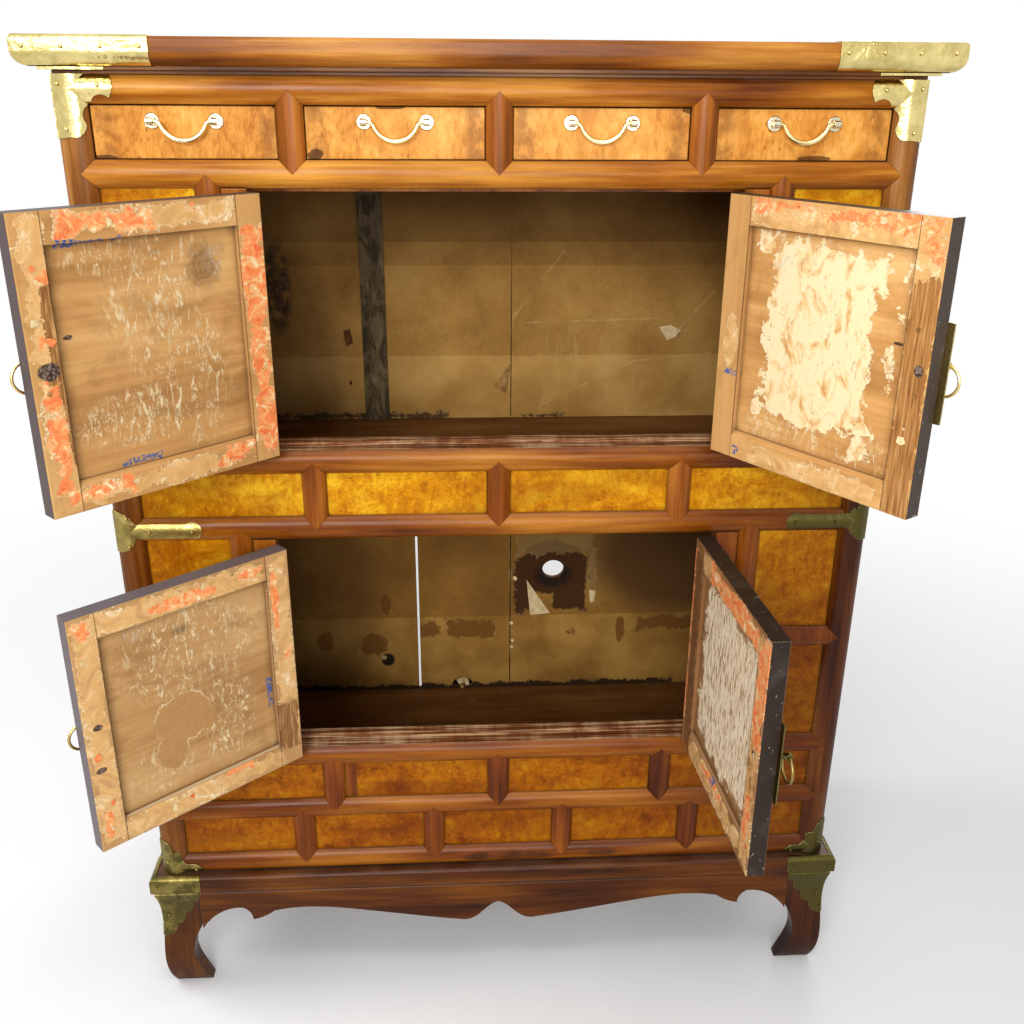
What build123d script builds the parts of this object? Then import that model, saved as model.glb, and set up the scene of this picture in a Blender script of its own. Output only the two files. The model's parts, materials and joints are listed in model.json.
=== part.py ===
"""Korean two-tier chest: a framed case on a scalloped base, with four drawers and four doors.

X runs across the front, Y from the front to the back, Z up from the soles of the feet.
The doors stand open at rest; the drawers are shut and the bails and rings hang down.
"""

import os
from itertools import accumulate
from math import asin, atan, cos, degrees, radians, sin, sqrt

from build123d import *

os.makedirs("parts", exist_ok=True)

# ---------------------------------------------------------------------------
# Driving dimensions, mm and degrees
# ---------------------------------------------------------------------------

# Case
case_width = 960.0  # over the posts
case_depth = 462.0  # springing plane of the front mouldings to the back
post_size = 35.0
rail_height = 30.0
rail_depth = 36.0
stile_depth = 24.0
bow = 8.0  # how far the rounded faces stand out of the springing plane
lap = 10.0  # depth behind the springing plane of the pointed laps
panel_thickness = 8.0
panel_recess = 3.0

# Clear heights between the front rails, from the bottom up
bottom_row_height = 59.0
lower_row_height = 57.5
lower_opening_height = 313.0
middle_row_height = 57.5
upper_opening_height = 310.0
drawer_row_height = 57.5

# Sides, back and inside
side_rail_depth = 28.0
side_bow = 4.0
side_panel_recess = 6.0
back_board = 9.0
back_rail_depth = 12.0
floor_thickness = 9.0
deck_thickness = 10.0
guide_height = 12.0
guide_end_gap = 40.0
batten_width = 38.0
batten_depth = 8.0
batten_x = -180.0
upper_seam_x = 41.0
open_seam_x = -123.0
open_seam = 4.0
shut_seam_x = 42.0
knot_x = 118.0
knot_drop = 262.0  # knot centre below the tier rail
knot_width = 38.0
knot_height = 34.0

# Top
under_board = 8.0
under_step = 4.0
under_set_back = 2.0
under_lip = 9.0
top_thickness = 29.0
top_overhang = 30.0
top_front_overhang = 22.0
top_back_overhang = 6.0
top_lower_round = 14.0
top_upper_round = 4.0

# Base
base_height = 200.0
band_height = 28.0
band_overhang = 18.0
band_width = 60.0
band_round = 6.0
leg_overhang = 16.0
leg_width = 64.0
leg_wall = 28.0  # each leg is two boards that meet at the corner
sole_reach = 66.0
sole_round = 13.0
apron_thickness = 24.0
apron_round = 3.5  # upper outer edge of the legs and the front apron

# Drops of the carved outline below the base frame
apron_waist = 31.0
leaf_drop = 51.0
ogee_peak_drop = 33.0
ankle_drop = 65.0
scoop_drop = 114.0
foot_height = 26.0

# Reaches of the carved outline along the front apron
leaf_root = 32.0  # from the leg to the flat behind it
leaf_back = 61.0
leaf_tip = 74.0
leaf_reach = 106.0
ogee_half = 50.0
arch_shoulder = 60.0

# Doors
doorway_share = 0.5896  # clear width between the jambs, of the case width
jamb_width = 28.0
door_proud = 3.0  # doors and jambs ahead of the springing plane
door_thickness = 22.0
door_side_gap = 1.5
door_meeting_gap = 1.0  # each door to the middle line
door_top_gap = 2.5
door_sill_gap = 3.5
door_frame_width = 32.0
door_panel_thickness = 10.0
door_panel_recess = 4.0
door_chamfer = 5.0
door_edge_round = 1.5
stop_gap = 0.5
stop_height = 5.0
open_angles = {
    "upper_left": 135.6,
    "upper_right": 122.4,
    "lower_left": 139.0,
    "lower_right": 93.6,
}

# Door hinges
hinge_offset = 4.5  # pin axis ahead of the door face
knuckle_radius = 4.0
pin_radius = 1.8
running_clearance = 0.06
hinge_height = 46.0
middle_knuckle = 17.0
knuckle_gap = 0.5
leaf_thickness = 1.5
leaf_setback = 4.8
frame_leaf_reach = 26.0
door_leaf_reach = 38.0
leaf_lobe = 13.0
hinge_inset = 78.0  # hinge centre from the door's end
finial_radius = 2.8

# Door brass
sheet = 1.2
sheet_seat = 0.1  # glue line between sheet brass and wood
lock_radius = 52.0
lock_overhang = 6.0
lock_clearance = 2.0
overlap_lift = 0.4
staple_shank = 2.2
staple_eye = 4.0
staple_length = 6.0
staple_rise = 6.0
left_staple_inset = 9.0
right_staple_inset = 3.0
left_staple_out = 7.2
right_staple_out = 13.4
ring_radius = 16.0
ring_wire = 1.7
ring_pin = 8.0
boss_radius = 6.0
boss_rise = 28.0
nail_radius = 2.4

# Drawers
drawer_clearance = 0.6
drawer_recess = 2.0
drawer_front = 16.0
drawer_length = 400.0
drawer_side = 8.0
drawer_side_height = 44.0
drawer_bottom = 5.0
drawer_edge_round = 1.5
bail_span = 69.0
bail_rise = 11.5
bail_drop = 20.0
bail_end = 2.1
bail_belly = 3.1
bail_neck_radius = 7.0
bail_pin = 1.7
bail_shoulder_gap = 0.6
rosette_radius = 8.5
rosette_thickness = 1.6
rosette_shank = 3.2
rosette_eye = 4.2
rosette_eye_length = 7.0
rosette_out = 8.5

# Brass on the case
wrap_front = 142.0
wrap_side = 95.0
wrap_return = 24.0
flange_length = 68.0
corner_plate_side = 28.0
strap_radius = 28.0
strap_reach = 96.0
strap_height = 20.0
strap_lobe = 12.0
band_plate_length = 71.0
band_plate_depth = 8.0
base_plate_side = 52.0
leg_plate_height = 78.0

# ---------------------------------------------------------------------------
# Derived places
# ---------------------------------------------------------------------------

half_width = case_width / 2
inner_half = half_width - post_size
stile_width = rail_height  # equal widths let the pointed joints mitre
point = stile_width / 2

bay_heights = {
    "bottom_row": bottom_row_height,
    "lower_row": lower_row_height,
    "lower_doors": lower_opening_height,
    "middle_row": middle_row_height,
    "upper_doors": upper_opening_height,
    "drawers": drawer_row_height,
}
rail_names = ("bottom", "panel", "lower_sill", "tier", "upper_sill", "drawer", "top")
steps = [base_height, rail_height]
for bay_height in bay_heights.values():
    steps += [bay_height, rail_height]
levels = list(accumulate(steps))
rail_low = dict(zip(rail_names, levels[0::2]))
bays = dict(zip(bay_heights, zip(levels[1::2], levels[2::2])))
case_top = levels[-1]

door_opening = case_width * doorway_share
door_stile_x = door_opening / 2 + jamb_width + stile_width / 2

hinge_x = door_opening / 2 - door_side_gap / 2
door_width = door_opening / 2 - door_side_gap - door_meeting_gap
ring_swing = hinge_x - door_meeting_gap - right_staple_inset + ring_radius + ring_wire
foremost = ring_swing * max(sin(radians(angle)) for angle in open_angles.values())
front_y = (foremost + hinge_offset + door_proud - case_depth - top_back_overhang) / 2
back_y = front_y + case_depth
face_y = front_y - door_proud  # front of the doors and jambs
hinge_y = face_y - hinge_offset

side_springing = half_width - side_bow
side_rail_inner = half_width - side_rail_depth
side_panel_outer = side_springing - side_panel_recess
side_panel_inner = side_panel_outer - panel_thickness
side_front = front_y + post_size
side_back = back_y - post_size

base_half = half_width + leg_overhang
leg_front = front_y - leg_overhang
leg_top = base_height - band_height
top_low = case_top + under_board

lap_plane = Plane.XZ.offset(bow + 1 - front_y)
lap_reach = bow + 1 + lap
front_view = Plane.XZ.offset(case_depth - front_y)
side_view = Plane.YZ.offset(case_width)
view_reach = 3 * case_depth


# ---------------------------------------------------------------------------
# Shared helpers
# ---------------------------------------------------------------------------


def save(name, solids):
    """Write one node: a single solid, or a group of separate solids."""
    piece = solids[0] if len(solids) == 1 else Compound(children=list(solids))
    piece.label = name
    export_step(piece, f"parts/{name}.step")


def block(across, deep, tall):
    """Box between two opposite corners, given as a range along each axis."""
    with BuildPart() as box:
        with BuildSketch(Plane.XY.offset(min(tall))):
            with Locations((sum(across) / 2, sum(deep) / 2)):
                Rectangle(abs(across[1] - across[0]), abs(deep[1] - deep[0]))
        extrude(amount=abs(tall[1] - tall[0]))
    return box.part


def mirrored(solids):
    """The solids and their mirror images across the middle plane."""
    return [*solids, *(mirror(solid, about=Plane.YZ) for solid in solids)]


def spaced(count):
    """Centre lines of the stiles that part a row into equal panels."""
    pitch = (2 * inner_half + stile_width) / count
    return [(place - count / 2) * pitch for place in range(1, count)]


def upright_point(x, shoulder, direction):
    """Corners of the point that a stile drives into a rail."""
    return (x - point, shoulder), (x, shoulder + direction * point), (x + point, shoulder)


def level_point(shoulder, middle, direction):
    """Corners of the point that a rail drives into a post or stile."""
    tip = (shoulder + direction * point, middle)
    return (shoulder, middle - point), tip, (shoulder, middle + point)


# ---------------------------------------------------------------------------
# Rounded bars of the front frame
# ---------------------------------------------------------------------------


def level_bar(left, right, low, depth):
    """Bar along X with a rounded front, between two shoulders."""
    with BuildPart() as bar:
        with BuildSketch(Plane.YZ.offset(left)):
            with BuildLine():
                high = low + rail_height
                back = front_y + depth
                Polyline((front_y, high), (back, high), (back, low), (front_y, low))
                ThreePointArc(
                    (front_y, low), (front_y - bow, low + rail_height / 2), (front_y, high)
                )
            make_face()
        extrude(amount=right - left)
    return bar.part


def upright_bar(x, width, low, high, depth):
    """Bar along Z with a rounded front."""
    with BuildPart() as bar:
        with BuildSketch(Plane.XY.offset(low)):
            with BuildLine():
                left = x - width / 2
                right = x + width / 2
                back = front_y + depth
                Polyline((left, front_y), (left, back), (right, back), (right, front_y))
                ThreePointArc((right, front_y), (x, front_y - bow), (left, front_y))
            make_face()
        extrude(amount=high - low)
    return bar.part


def cut_to_front_view(bar, corners):
    """Keep the part of a bar that lies inside an outline of the front view."""
    with BuildPart() as kept:
        add(bar)
        with BuildSketch(lap_plane):
            with BuildLine():
                Polyline(*corners, close=True)
            make_face()
        extrude(amount=-view_reach, mode=Mode.INTERSECT)
    return kept.part


def without_points(bar, points):
    """Cut the pointed laps of the meeting bars into a bar."""
    with BuildPart() as cut:
        add(bar)
        for corners in points:
            with BuildSketch(lap_plane):
                with BuildLine():
                    Polyline(*corners, close=True)
                make_face()
            extrude(amount=-lap_reach, mode=Mode.SUBTRACT)
    return cut.part


def pointed_rail(left, right, low, depth, points=()):
    """Rail with a pointed lap at each end, notched for the stiles that meet it."""
    middle = low + rail_height / 2
    body = level_bar(left, right, low, depth)
    long_bar = level_bar(left - point, right + point, low, lap)
    left_tip = cut_to_front_view(long_bar, level_point(left, middle, -1))
    right_tip = cut_to_front_view(long_bar, level_point(right, middle, 1))
    with BuildPart() as rail:
        add(body)
        add(left_tip)
        add(right_tip)
    return without_points(rail.part, points)


def pointed_stile(x, low, high, points=()):
    """Stile with a pointed lap at each end, notched for the rails that meet it."""
    body = upright_bar(x, stile_width, low, high, stile_depth)
    long_bar = upright_bar(x, stile_width, low - point, high + point, lap)
    foot = cut_to_front_view(long_bar, upright_point(x, low, -1))
    head = cut_to_front_view(long_bar, upright_point(x, high, 1))
    with BuildPart() as stile:
        add(body)
        add(foot)
        add(head)
    return without_points(stile.part, points)


# ---------------------------------------------------------------------------
# Front frame
# ---------------------------------------------------------------------------

bay_stiles = {
    "bottom_row": spaced(5),
    "lower_row": spaced(4),
    "lower_doors": [-door_stile_x, door_stile_x],
    "middle_row": spaced(4),
    "upper_doors": [-door_stile_x, door_stile_x],
    "drawers": spaced(4),
}
bay_names = list(bays)
door_bays = ("lower_doors", "upper_doors")
column_middle = {bay: sum(bays[bay]) / 2 for bay in door_bays}

front_rails = {}
for place, (name, low) in enumerate(rail_low.items()):
    laps = []
    if place > 0:
        laps += [upright_point(x, low, 1) for x in bay_stiles[bay_names[place - 1]]]
    if place < len(bay_names):
        high = low + rail_height
        laps += [upright_point(x, high, -1) for x in bay_stiles[bay_names[place]]]
    front_rails[name] = pointed_rail(-inner_half, inner_half, low, rail_depth, laps)
save("front_rails", list(front_rails.values()))

post_laps = [level_point(inner_half, low + rail_height / 2, 1) for low in rail_low.values()]
post_laps += [level_point(inner_half, column_middle[bay], 1) for bay in door_bays]
post_bar = upright_bar(half_width - post_size / 2, post_size, base_height, case_top, post_size)
save("front_posts", mirrored([without_points(post_bar, post_laps)]))

row_stiles = []
for bay, (low, high) in bays.items():
    if bay not in door_bays:
        row_stiles += [pointed_stile(x, low, high) for x in bay_stiles[bay]]
save("row_stiles", row_stiles)

column_inner = door_stile_x + stile_width / 2
column_frames = []
for bay in door_bays:
    low, high = bays[bay]
    lap_corners = level_point(column_inner, column_middle[bay], -1)
    column_frames.append(pointed_stile(door_stile_x, low, high, [lap_corners]))
    cross_low = column_middle[bay] - rail_height / 2
    column_frames.append(pointed_rail(column_inner, inner_half, cross_low, stile_depth))
save("column_frames", mirrored(column_frames))

jamb_edge = door_opening / 2
jamb_across = (jamb_edge, jamb_edge + jamb_width)
jamb_deep = (face_y, front_y + stile_depth)
stop_deep = (face_y + door_thickness + stop_gap, front_y + rail_depth)
jambs = []
stops = []
for bay in door_bays:
    low, high = bays[bay]
    jambs.append(block(jamb_across, jamb_deep, (low, high)))
    for edge, inward in ((low, stop_height), (high, -stop_height)):
        stops.append(block((-jamb_edge, jamb_edge), stop_deep, (edge, edge + inward)))
save("door_jambs_and_stops", [*mirrored(jambs), *stops])

panel_deep = (front_y + panel_recess, front_y + panel_recess + panel_thickness)
row_panels = []
for bay in ("bottom_row", "lower_row", "middle_row"):
    centres = bay_stiles[bay]
    lefts = [-inner_half, *(x + stile_width / 2 for x in centres)]
    rights = [*(x - stile_width / 2 for x in centres), inner_half]
    row_panels += [block(span, panel_deep, bays[bay]) for span in zip(lefts, rights)]
save("row_panels", row_panels)

column_panels = []
for bay in door_bays:
    low, high = bays[bay]
    cross_low = column_middle[bay] - rail_height / 2
    for tall in ((low, cross_low), (cross_low + rail_height, high)):
        column_panels.append(block((column_inner, inner_half), panel_deep, tall))
save("column_panels", mirrored(column_panels))

# ---------------------------------------------------------------------------
# Sides, back and inside
# ---------------------------------------------------------------------------

side_rail_names = ("bottom", "lower_sill", "tier", "upper_sill", "top")


def side_rail(low):
    """Rail of the right side, with a slightly rounded face."""
    high = low + rail_height
    with BuildPart() as rail:
        with BuildSketch(Plane.XZ.offset(-side_front)):
            with BuildLine():
                Polyline(
                    (side_springing, high),
                    (side_rail_inner, high),
                    (side_rail_inner, low),
                    (side_springing, low),
                )
                ThreePointArc(
                    (side_springing, low),
                    (half_width, low + rail_height / 2),
                    (side_springing, high),
                )
            make_face()
        extrude(amount=side_front - side_back)
    return rail.part


save("side_rails", mirrored([side_rail(rail_low[name]) for name in side_rail_names]))

side_panels = []
for below, above in zip(side_rail_names, side_rail_names[1:]):
    tall = (rail_low[below] + rail_height, rail_low[above])
    across = (side_panel_inner, side_panel_outer)
    side_panels.append(block(across, (side_front, side_back), tall))
save("side_panels", mirrored(side_panels))

rear_post = block((inner_half, half_width), (side_back, back_y), (base_height, case_top))
save("rear_posts", mirrored([rear_post]))

upper_floor_top = rail_low["tier"] + (rail_height + floor_thickness) / 2
lower_floor_top = rail_low["bottom"] + (rail_height + floor_thickness) / 2
deck_top = bays["drawers"][0]
deck_low = deck_top - deck_thickness

back_rail_front = back_y - back_rail_depth
board_front = back_y - back_board
back_rail_heights = [
    (rail_low["bottom"], lower_floor_top),
    (rail_low["tier"], upper_floor_top),
    (rail_low["top"], case_top),
]
back_deep = (back_rail_front, back_y)
back_frame = [block((-inner_half, inner_half), back_deep, tall) for tall in back_rail_heights]

batten_across = (batten_x - batten_width / 2, batten_x + batten_width / 2)
batten_tall = (upper_floor_top, deck_low)
batten_deep = (board_front - batten_depth, board_front)
back_frame.append(block(batten_across, batten_deep, batten_tall))
save("back_frame", back_frame)


def back_boards(low, high, edges):
    """Upright boards between the rear posts, from a list of (left, right) edges."""
    return [block(span, (board_front, back_y), (low, high)) for span in edges]


upper_edges = [(-inner_half, batten_x), (batten_x, upper_seam_x), (upper_seam_x, inner_half)]
upper_boards = back_boards(upper_floor_top, rail_low["top"], upper_edges)
save("upper_back_boards", upper_boards)

lower_edges = [
    (-inner_half, open_seam_x - open_seam / 2),
    (open_seam_x + open_seam / 2, shut_seam_x),
    (shut_seam_x, inner_half),
]
*sound_boards, knotted_board = back_boards(lower_floor_top, rail_low["tier"], lower_edges)
with BuildPart() as knotted:
    add(knotted_board)
    with BuildSketch(Plane.XZ.offset(-back_y)):
        with Locations((knot_x, rail_low["tier"] - knot_drop)):
            Ellipse(knot_width / 2, knot_height / 2)
    extrude(amount=back_board, mode=Mode.SUBTRACT)
save("lower_back_boards", [*sound_boards, knotted.part])


def inner_board(side_edge, top, thickness):
    """Level board from the front rails to the back, notched round the rear posts."""
    sheet_board = block(
        (-side_edge, side_edge),
        (front_y + rail_depth, back_rail_front),
        (top - thickness, top),
    )
    notches = mirrored([
        block((inner_half, half_width), (side_back, back_y), (top - thickness, top))
    ])
    with BuildPart() as board:
        add(sheet_board)
        for notch in notches:
            add(notch, mode=Mode.SUBTRACT)
    return board.part


save("upper_floor", [inner_board(side_rail_inner, upper_floor_top, floor_thickness)])
save("lower_floor", [inner_board(side_rail_inner, lower_floor_top, floor_thickness)])

guide_deep = (front_y + rail_depth, back_rail_front - guide_end_gap)
guide_tall = (deck_top, deck_top + guide_height)
guide_spans = [(x - stile_width / 2, x + stile_width / 2) for x in bay_stiles["drawers"]]
guides = [block(span, guide_deep, guide_tall) for span in guide_spans]
end_guides = mirrored([block((inner_half, side_panel_inner), guide_deep, guide_tall)])
drawer_deck = inner_board(side_panel_inner, deck_top, deck_thickness)
save("drawer_deck", [drawer_deck, *guides, *end_guides])

# ---------------------------------------------------------------------------
# Top
# ---------------------------------------------------------------------------

lower_step = block(
    (-half_width + under_set_back, half_width - under_set_back),
    (front_y - under_set_back, back_y),
    (case_top, case_top + under_step),
)
upper_step = block(
    (-half_width - under_lip, half_width + under_lip),
    (front_y - under_lip, back_y),
    (case_top + under_step, top_low),
)
with BuildPart() as under_top:
    add(lower_step)
    add(upper_step)
save("under_top_board", [under_top.part])


def top_board(grow):
    """Top board with its rounded edges, grown all round by the given thickness."""
    with BuildPart() as board:
        with BuildSketch(Plane.XY.offset(top_low - grow)):
            with Locations((0, (front_y - top_front_overhang + back_y + top_back_overhang) / 2)):
                Rectangle(
                    2 * (half_width + top_overhang + grow),
                    case_depth + top_front_overhang + top_back_overhang + 2 * grow,
                )
        extrude(amount=top_thickness + 2 * grow)
        lower_edges = board.edges().group_by(Axis.Z)[0].sort_by(Axis.Y)[:-1]
        fillet(lower_edges, radius=top_lower_round + grow)
        upper_edges = board.edges().group_by(Axis.Z)[-1]
        fillet(upper_edges, radius=top_upper_round + grow)
    return board.part


top_panel = top_board(0)
save("top_panel", [top_panel])

top_half = half_width + top_overhang
top_front = front_y - top_front_overhang
wrap_tall = (top_low - sheet, top_low + top_thickness + sheet)
wrap_corner = (top_half + sheet, top_front - sheet)


def corner_arms(corner, front_length, side_length, depth, tall):
    """Space taken by the two arms of a brass that turns the right-hand front corner."""
    x, y = corner
    front_arm = block((x - front_length, x), (y, y + depth), tall)
    side_arm = block((x - depth, x), (y, y + side_length), tall)
    return front_arm.fuse(side_arm)


wrap_arms = corner_arms(wrap_corner, wrap_front, wrap_side, wrap_return, wrap_tall)
wrap_room = block(
    (0, half_width + 2 * under_lip),
    (front_y - 2 * under_lip, back_y),
    (top_low - 2 * sheet, top_low),
)
wrapped_top = top_board(sheet)
with BuildPart() as top_wrap:
    add(wrapped_top)
    add(wrap_arms, mode=Mode.INTERSECT)
    add(top_panel, mode=Mode.SUBTRACT)
    add(wrap_room, mode=Mode.SUBTRACT)
save("top_corner_brasses", mirrored([top_wrap.part]))

# ---------------------------------------------------------------------------
# Base
# ---------------------------------------------------------------------------


def band_bar(corners, outer_edges):
    """Mitred bar of the base frame, with its outer edges rounded."""
    with BuildPart() as bar:
        with BuildSketch(Plane.XY.offset(leg_top)):
            with BuildLine():
                Polyline(*corners, close=True)
            make_face()
        extrude(amount=band_height)
        fillet(outer_edges(bar.edges()), radius=band_round)
    return bar.part


band_half = half_width + band_overhang
band_front = front_y - band_overhang
band_inner = band_half - band_width
front_band = band_bar(
    [
        (-band_half, band_front),
        (band_half, band_front),
        (band_inner, band_front + band_width),
        (-band_inner, band_front + band_width),
    ],
    lambda edges: edges.filter_by(Axis.X).group_by(Axis.Y)[0],
)
side_band = band_bar(
    [
        (band_half, band_front),
        (band_half, back_y),
        (band_inner, back_y - band_width),
        (band_inner, band_front + band_width),
    ],
    lambda edges: edges.filter_by(Axis.Y).group_by(Axis.X)[-1],
)
back_band = band_bar(
    [
        (-band_half, back_y),
        (band_half, back_y),
        (band_inner, back_y - band_width),
        (-band_inner, back_y - band_width),
    ],
    lambda edges: edges.filter_by(Axis.X).group_by(Axis.Y)[-1].group_by(Axis.Z)[0],
)
save("base_frame", [front_band, *mirrored([side_band]), back_band])

# Leg seen square on: depth in from its outer edge, height above the sole
ankle_height = leg_top - ankle_drop
scoop_height = leg_top - scoop_drop


def leg_profile(edge, inward):
    """Face of a leg seen square on, from its outer edge towards the middle."""

    def at(depth, height):
        return (edge + inward * depth, height)

    with BuildSketch() as profile:
        with BuildLine():
            Polyline(at(leg_width - 3, ankle_height), at(leg_width, leg_top), at(0, leg_top))
            Spline(at(0, leg_top), at(3, scoop_height), at(5, foot_height), at(sole_round, 0))
            Line(at(sole_round, 0), at(sole_reach, 0))
            Spline(
                at(sole_reach, 0),
                at(leg_width - 9, foot_height),
                at(leg_width - 18, scoop_height),
                at(leg_width - 13, ankle_height - 21),
                at(leg_width - 3, ankle_height),
            )
        make_face()
    return profile.sketch


def leg(side_edge, side_inward):
    """Right leg: two boards at the corner, the same profile from the front and the side."""
    hollow_edge = side_edge + side_inward * leg_wall
    with BuildPart() as post:
        with BuildSketch(front_view):
            add(leg_profile(base_half, -1))
        extrude(amount=-view_reach)
        with BuildSketch(Plane.YZ):
            add(leg_profile(side_edge, side_inward))
        extrude(amount=base_half, mode=Mode.INTERSECT)
        top_edges = post.faces().sort_by(Axis.Z)[-1].edges()
        across = top_edges.filter_by(Axis.X).sort_by(Axis.Y, reverse=side_inward < 0)
        fillet([across[0], top_edges.filter_by(Axis.Y).sort_by(Axis.X)[-1]], apron_round)
        add(
            block(
                (base_half - 2 * sole_reach, base_half - leg_wall),
                (hollow_edge, hollow_edge + side_inward * 2 * sole_reach),
                (0, leg_top),
            ),
            mode=Mode.SUBTRACT,
        )
    return post.part


front_leg = leg(leg_front, 1)
rear_leg = leg(back_y, -1)
save("front_legs", mirrored([front_leg]))
save("rear_legs", mirrored([rear_leg]))

apron_half = base_half - leg_width
ogee_peak = leg_top - ogee_peak_drop
leaf_low = leg_top - leaf_drop
leaf_high = leg_top - apron_waist
swell = apron_half - leaf_reach - ogee_half


def front_apron_half():
    """Right half of the front apron: leaf cusp near the leg and a pointed ogee in the middle."""
    with BuildPart() as half:
        with BuildSketch(Plane.XZ.offset(-leg_front)):
            with BuildLine():
                Polyline(
                    (0, ogee_peak), (0, leg_top), (apron_half, leg_top), (apron_half, ankle_height)
                )
                Spline(
                    (apron_half, ankle_height),
                    (apron_half - leaf_root / 2, leaf_low + 6),
                    (apron_half - leaf_root, leaf_high - 3),
                    (apron_half - leaf_back, leaf_high + 2),
                )
                Spline(
                    (apron_half - leaf_back, leaf_high + 2),
                    (apron_half - leaf_back - 8, leaf_high - 5),
                    (apron_half - leaf_tip, leaf_low),
                )
                Spline(
                    (apron_half - leaf_tip, leaf_low),
                    (apron_half - leaf_tip - 18, leaf_low + 6),
                    (apron_half - leaf_reach, leaf_high - 5),
                )
                Spline(
                    (apron_half - leaf_reach, leaf_high - 5),
                    (ogee_half + 0.85 * swell, leaf_high),
                    (ogee_half + 0.56 * swell, leaf_high - 8),
                    (ogee_half + 0.19 * swell, ankle_height + 8),
                    (ogee_half, ankle_height),
                )
                Spline(
                    (ogee_half, ankle_height),
                    (0.6 * ogee_half, ankle_height + 8),
                    (0.3 * ogee_half, ogee_peak - 9),
                    (0, ogee_peak),
                )
            make_face()
        extrude(amount=-apron_thickness)
        fillet(half.faces().sort_by(Axis.Z)[-1].edges().sort_by(Axis.Y)[0], apron_round)
    return half.part


right_half = front_apron_half()
with BuildPart() as front_apron:
    add(right_half)
    mirror(about=Plane.YZ)


def plain_apron(plane, left, right, inward):
    """Apron of a side or the back: a shallow arch between the legs."""
    with BuildPart() as apron:
        with BuildSketch(plane):
            with BuildLine():
                Polyline((left, ankle_height), (left, leg_top), (right, leg_top))
                Line((right, leg_top), (right, ankle_height))
                Spline(
                    (right, ankle_height),
                    (right - arch_shoulder, leaf_high),
                    tangents=((0, 1), (-1, 0)),
                )
                Line((right - arch_shoulder, leaf_high), (left + arch_shoulder, leaf_high))
                Spline(
                    (left + arch_shoulder, leaf_high),
                    (left, ankle_height),
                    tangents=((-1, 0), (0, -1)),
                )
            make_face()
        extrude(amount=inward)
    return apron.part


side_apron = plain_apron(
    Plane.YZ.offset(base_half), leg_front + leg_width, back_y - leg_width, -apron_thickness
)
back_apron = plain_apron(Plane.XZ.offset(-back_y), -apron_half, apron_half, apron_thickness)
save("base_aprons", [front_apron.part, *mirrored([side_apron]), back_apron])

# ---------------------------------------------------------------------------
# Sheet brass on the case and the base
# ---------------------------------------------------------------------------

top_core = post_bar.fuse(front_rails["top"])
tier_core = post_bar.fuse(front_rails["tier"])
bottom_core = post_bar.fuse(front_rails["bottom"])


def moulded_sheet(core, outline, view):
    """Sheet brass pressed over a rounded shape, cut to an outline seen square on."""
    outer = Pos(view.z_dir * (sheet + sheet_seat)) * core
    inner = Pos(view.z_dir * sheet_seat) * core
    with BuildPart() as plate:
        with BuildSketch(view):
            add(outline)
        extrude(amount=-view_reach)
        add(outer, mode=Mode.INTERSECT)
        add(inner, mode=Mode.SUBTRACT)
    return plate.part


def scalloped(*pieces):
    """Face with a closed outline: pairs of points are lines, triples are arcs."""
    with BuildSketch() as profile:
        with BuildLine():
            for piece in pieces:
                if len(piece) == 2:
                    Line(*piece)
                else:
                    ThreePointArc(*piece)
        make_face()
    return profile.sketch


def from_corner(inset, height):
    """Point of the front view, measured in from the side of the case."""
    return (half_width - inset, height)


top_corner_outline = scalloped(
    (from_corner(0, case_top), from_corner(61, case_top)),
    (from_corner(61, case_top), from_corner(65, case_top - 12), from_corner(60, case_top - 24)),
    (
        from_corner(60, case_top - 24),
        from_corner(48, case_top - 21),
        from_corner(40, case_top - 29),
    ),
    (
        from_corner(40, case_top - 29),
        from_corner(31, case_top - 37),
        from_corner(32, case_top - 50),
    ),
    (
        from_corner(32, case_top - 50),
        from_corner(28, case_top - 61),
        from_corner(16, case_top - 64),
    ),
    (from_corner(16, case_top - 64), from_corner(0, case_top - 66)),
    (from_corner(0, case_top - 66), from_corner(0, case_top)),
)

bottom_corner_outline = scalloped(
    (from_corner(0, base_height), from_corner(57, base_height)),
    (
        from_corner(57, base_height),
        from_corner(53, base_height + 14),
        from_corner(38, base_height + 18),
    ),
    (
        from_corner(38, base_height + 18),
        from_corner(29, base_height + 24),
        from_corner(28, base_height + 37),
    ),
    (
        from_corner(28, base_height + 37),
        from_corner(20, base_height + 40),
        from_corner(14, base_height + 50),
    ),
    (
        from_corner(14, base_height + 50),
        from_corner(8, base_height + 58),
        from_corner(0, base_height + 60),
    ),
    (from_corner(0, base_height + 60), from_corner(0, base_height)),
)

tier_middle = rail_low["tier"] + rail_height / 2
with BuildSketch() as strap_outline:
    with Locations((half_width, tier_middle)):
        Circle(strap_radius)
    with Locations((half_width - strap_reach / 2, tier_middle)):
        Rectangle(strap_reach, strap_height)
    with Locations((half_width - strap_reach, tier_middle)):
        Circle(strap_lobe)


def side_plate(low, high):
    """Return of a corner plate round the outer side of the post."""
    return block(
        (half_width, half_width + sheet),
        (front_y - sheet - sheet_seat, front_y + corner_plate_side),
        (low, high),
    )


def wrapped_plate(core, outline, low, high):
    """Corner plate: the moulded sheet and its return round the post."""
    front_sheet = moulded_sheet(core, outline, front_view)
    return front_sheet.fuse(side_plate(low, high))


top_plate = wrapped_plate(top_core, top_corner_outline, case_top - 66, case_top)
bottom_plate = wrapped_plate(
    bottom_core, bottom_corner_outline, base_height, base_height + 60
)
strap = wrapped_plate(
    tier_core, strap_outline.sketch, tier_middle - strap_radius, tier_middle + strap_radius
)
flange_end = half_width + under_lip
flange = block(
    (flange_end - flange_length, flange_end + sheet),
    (front_y - under_lip - sheet, front_y - under_lip),
    (case_top + under_step, top_low - sheet),
)


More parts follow.
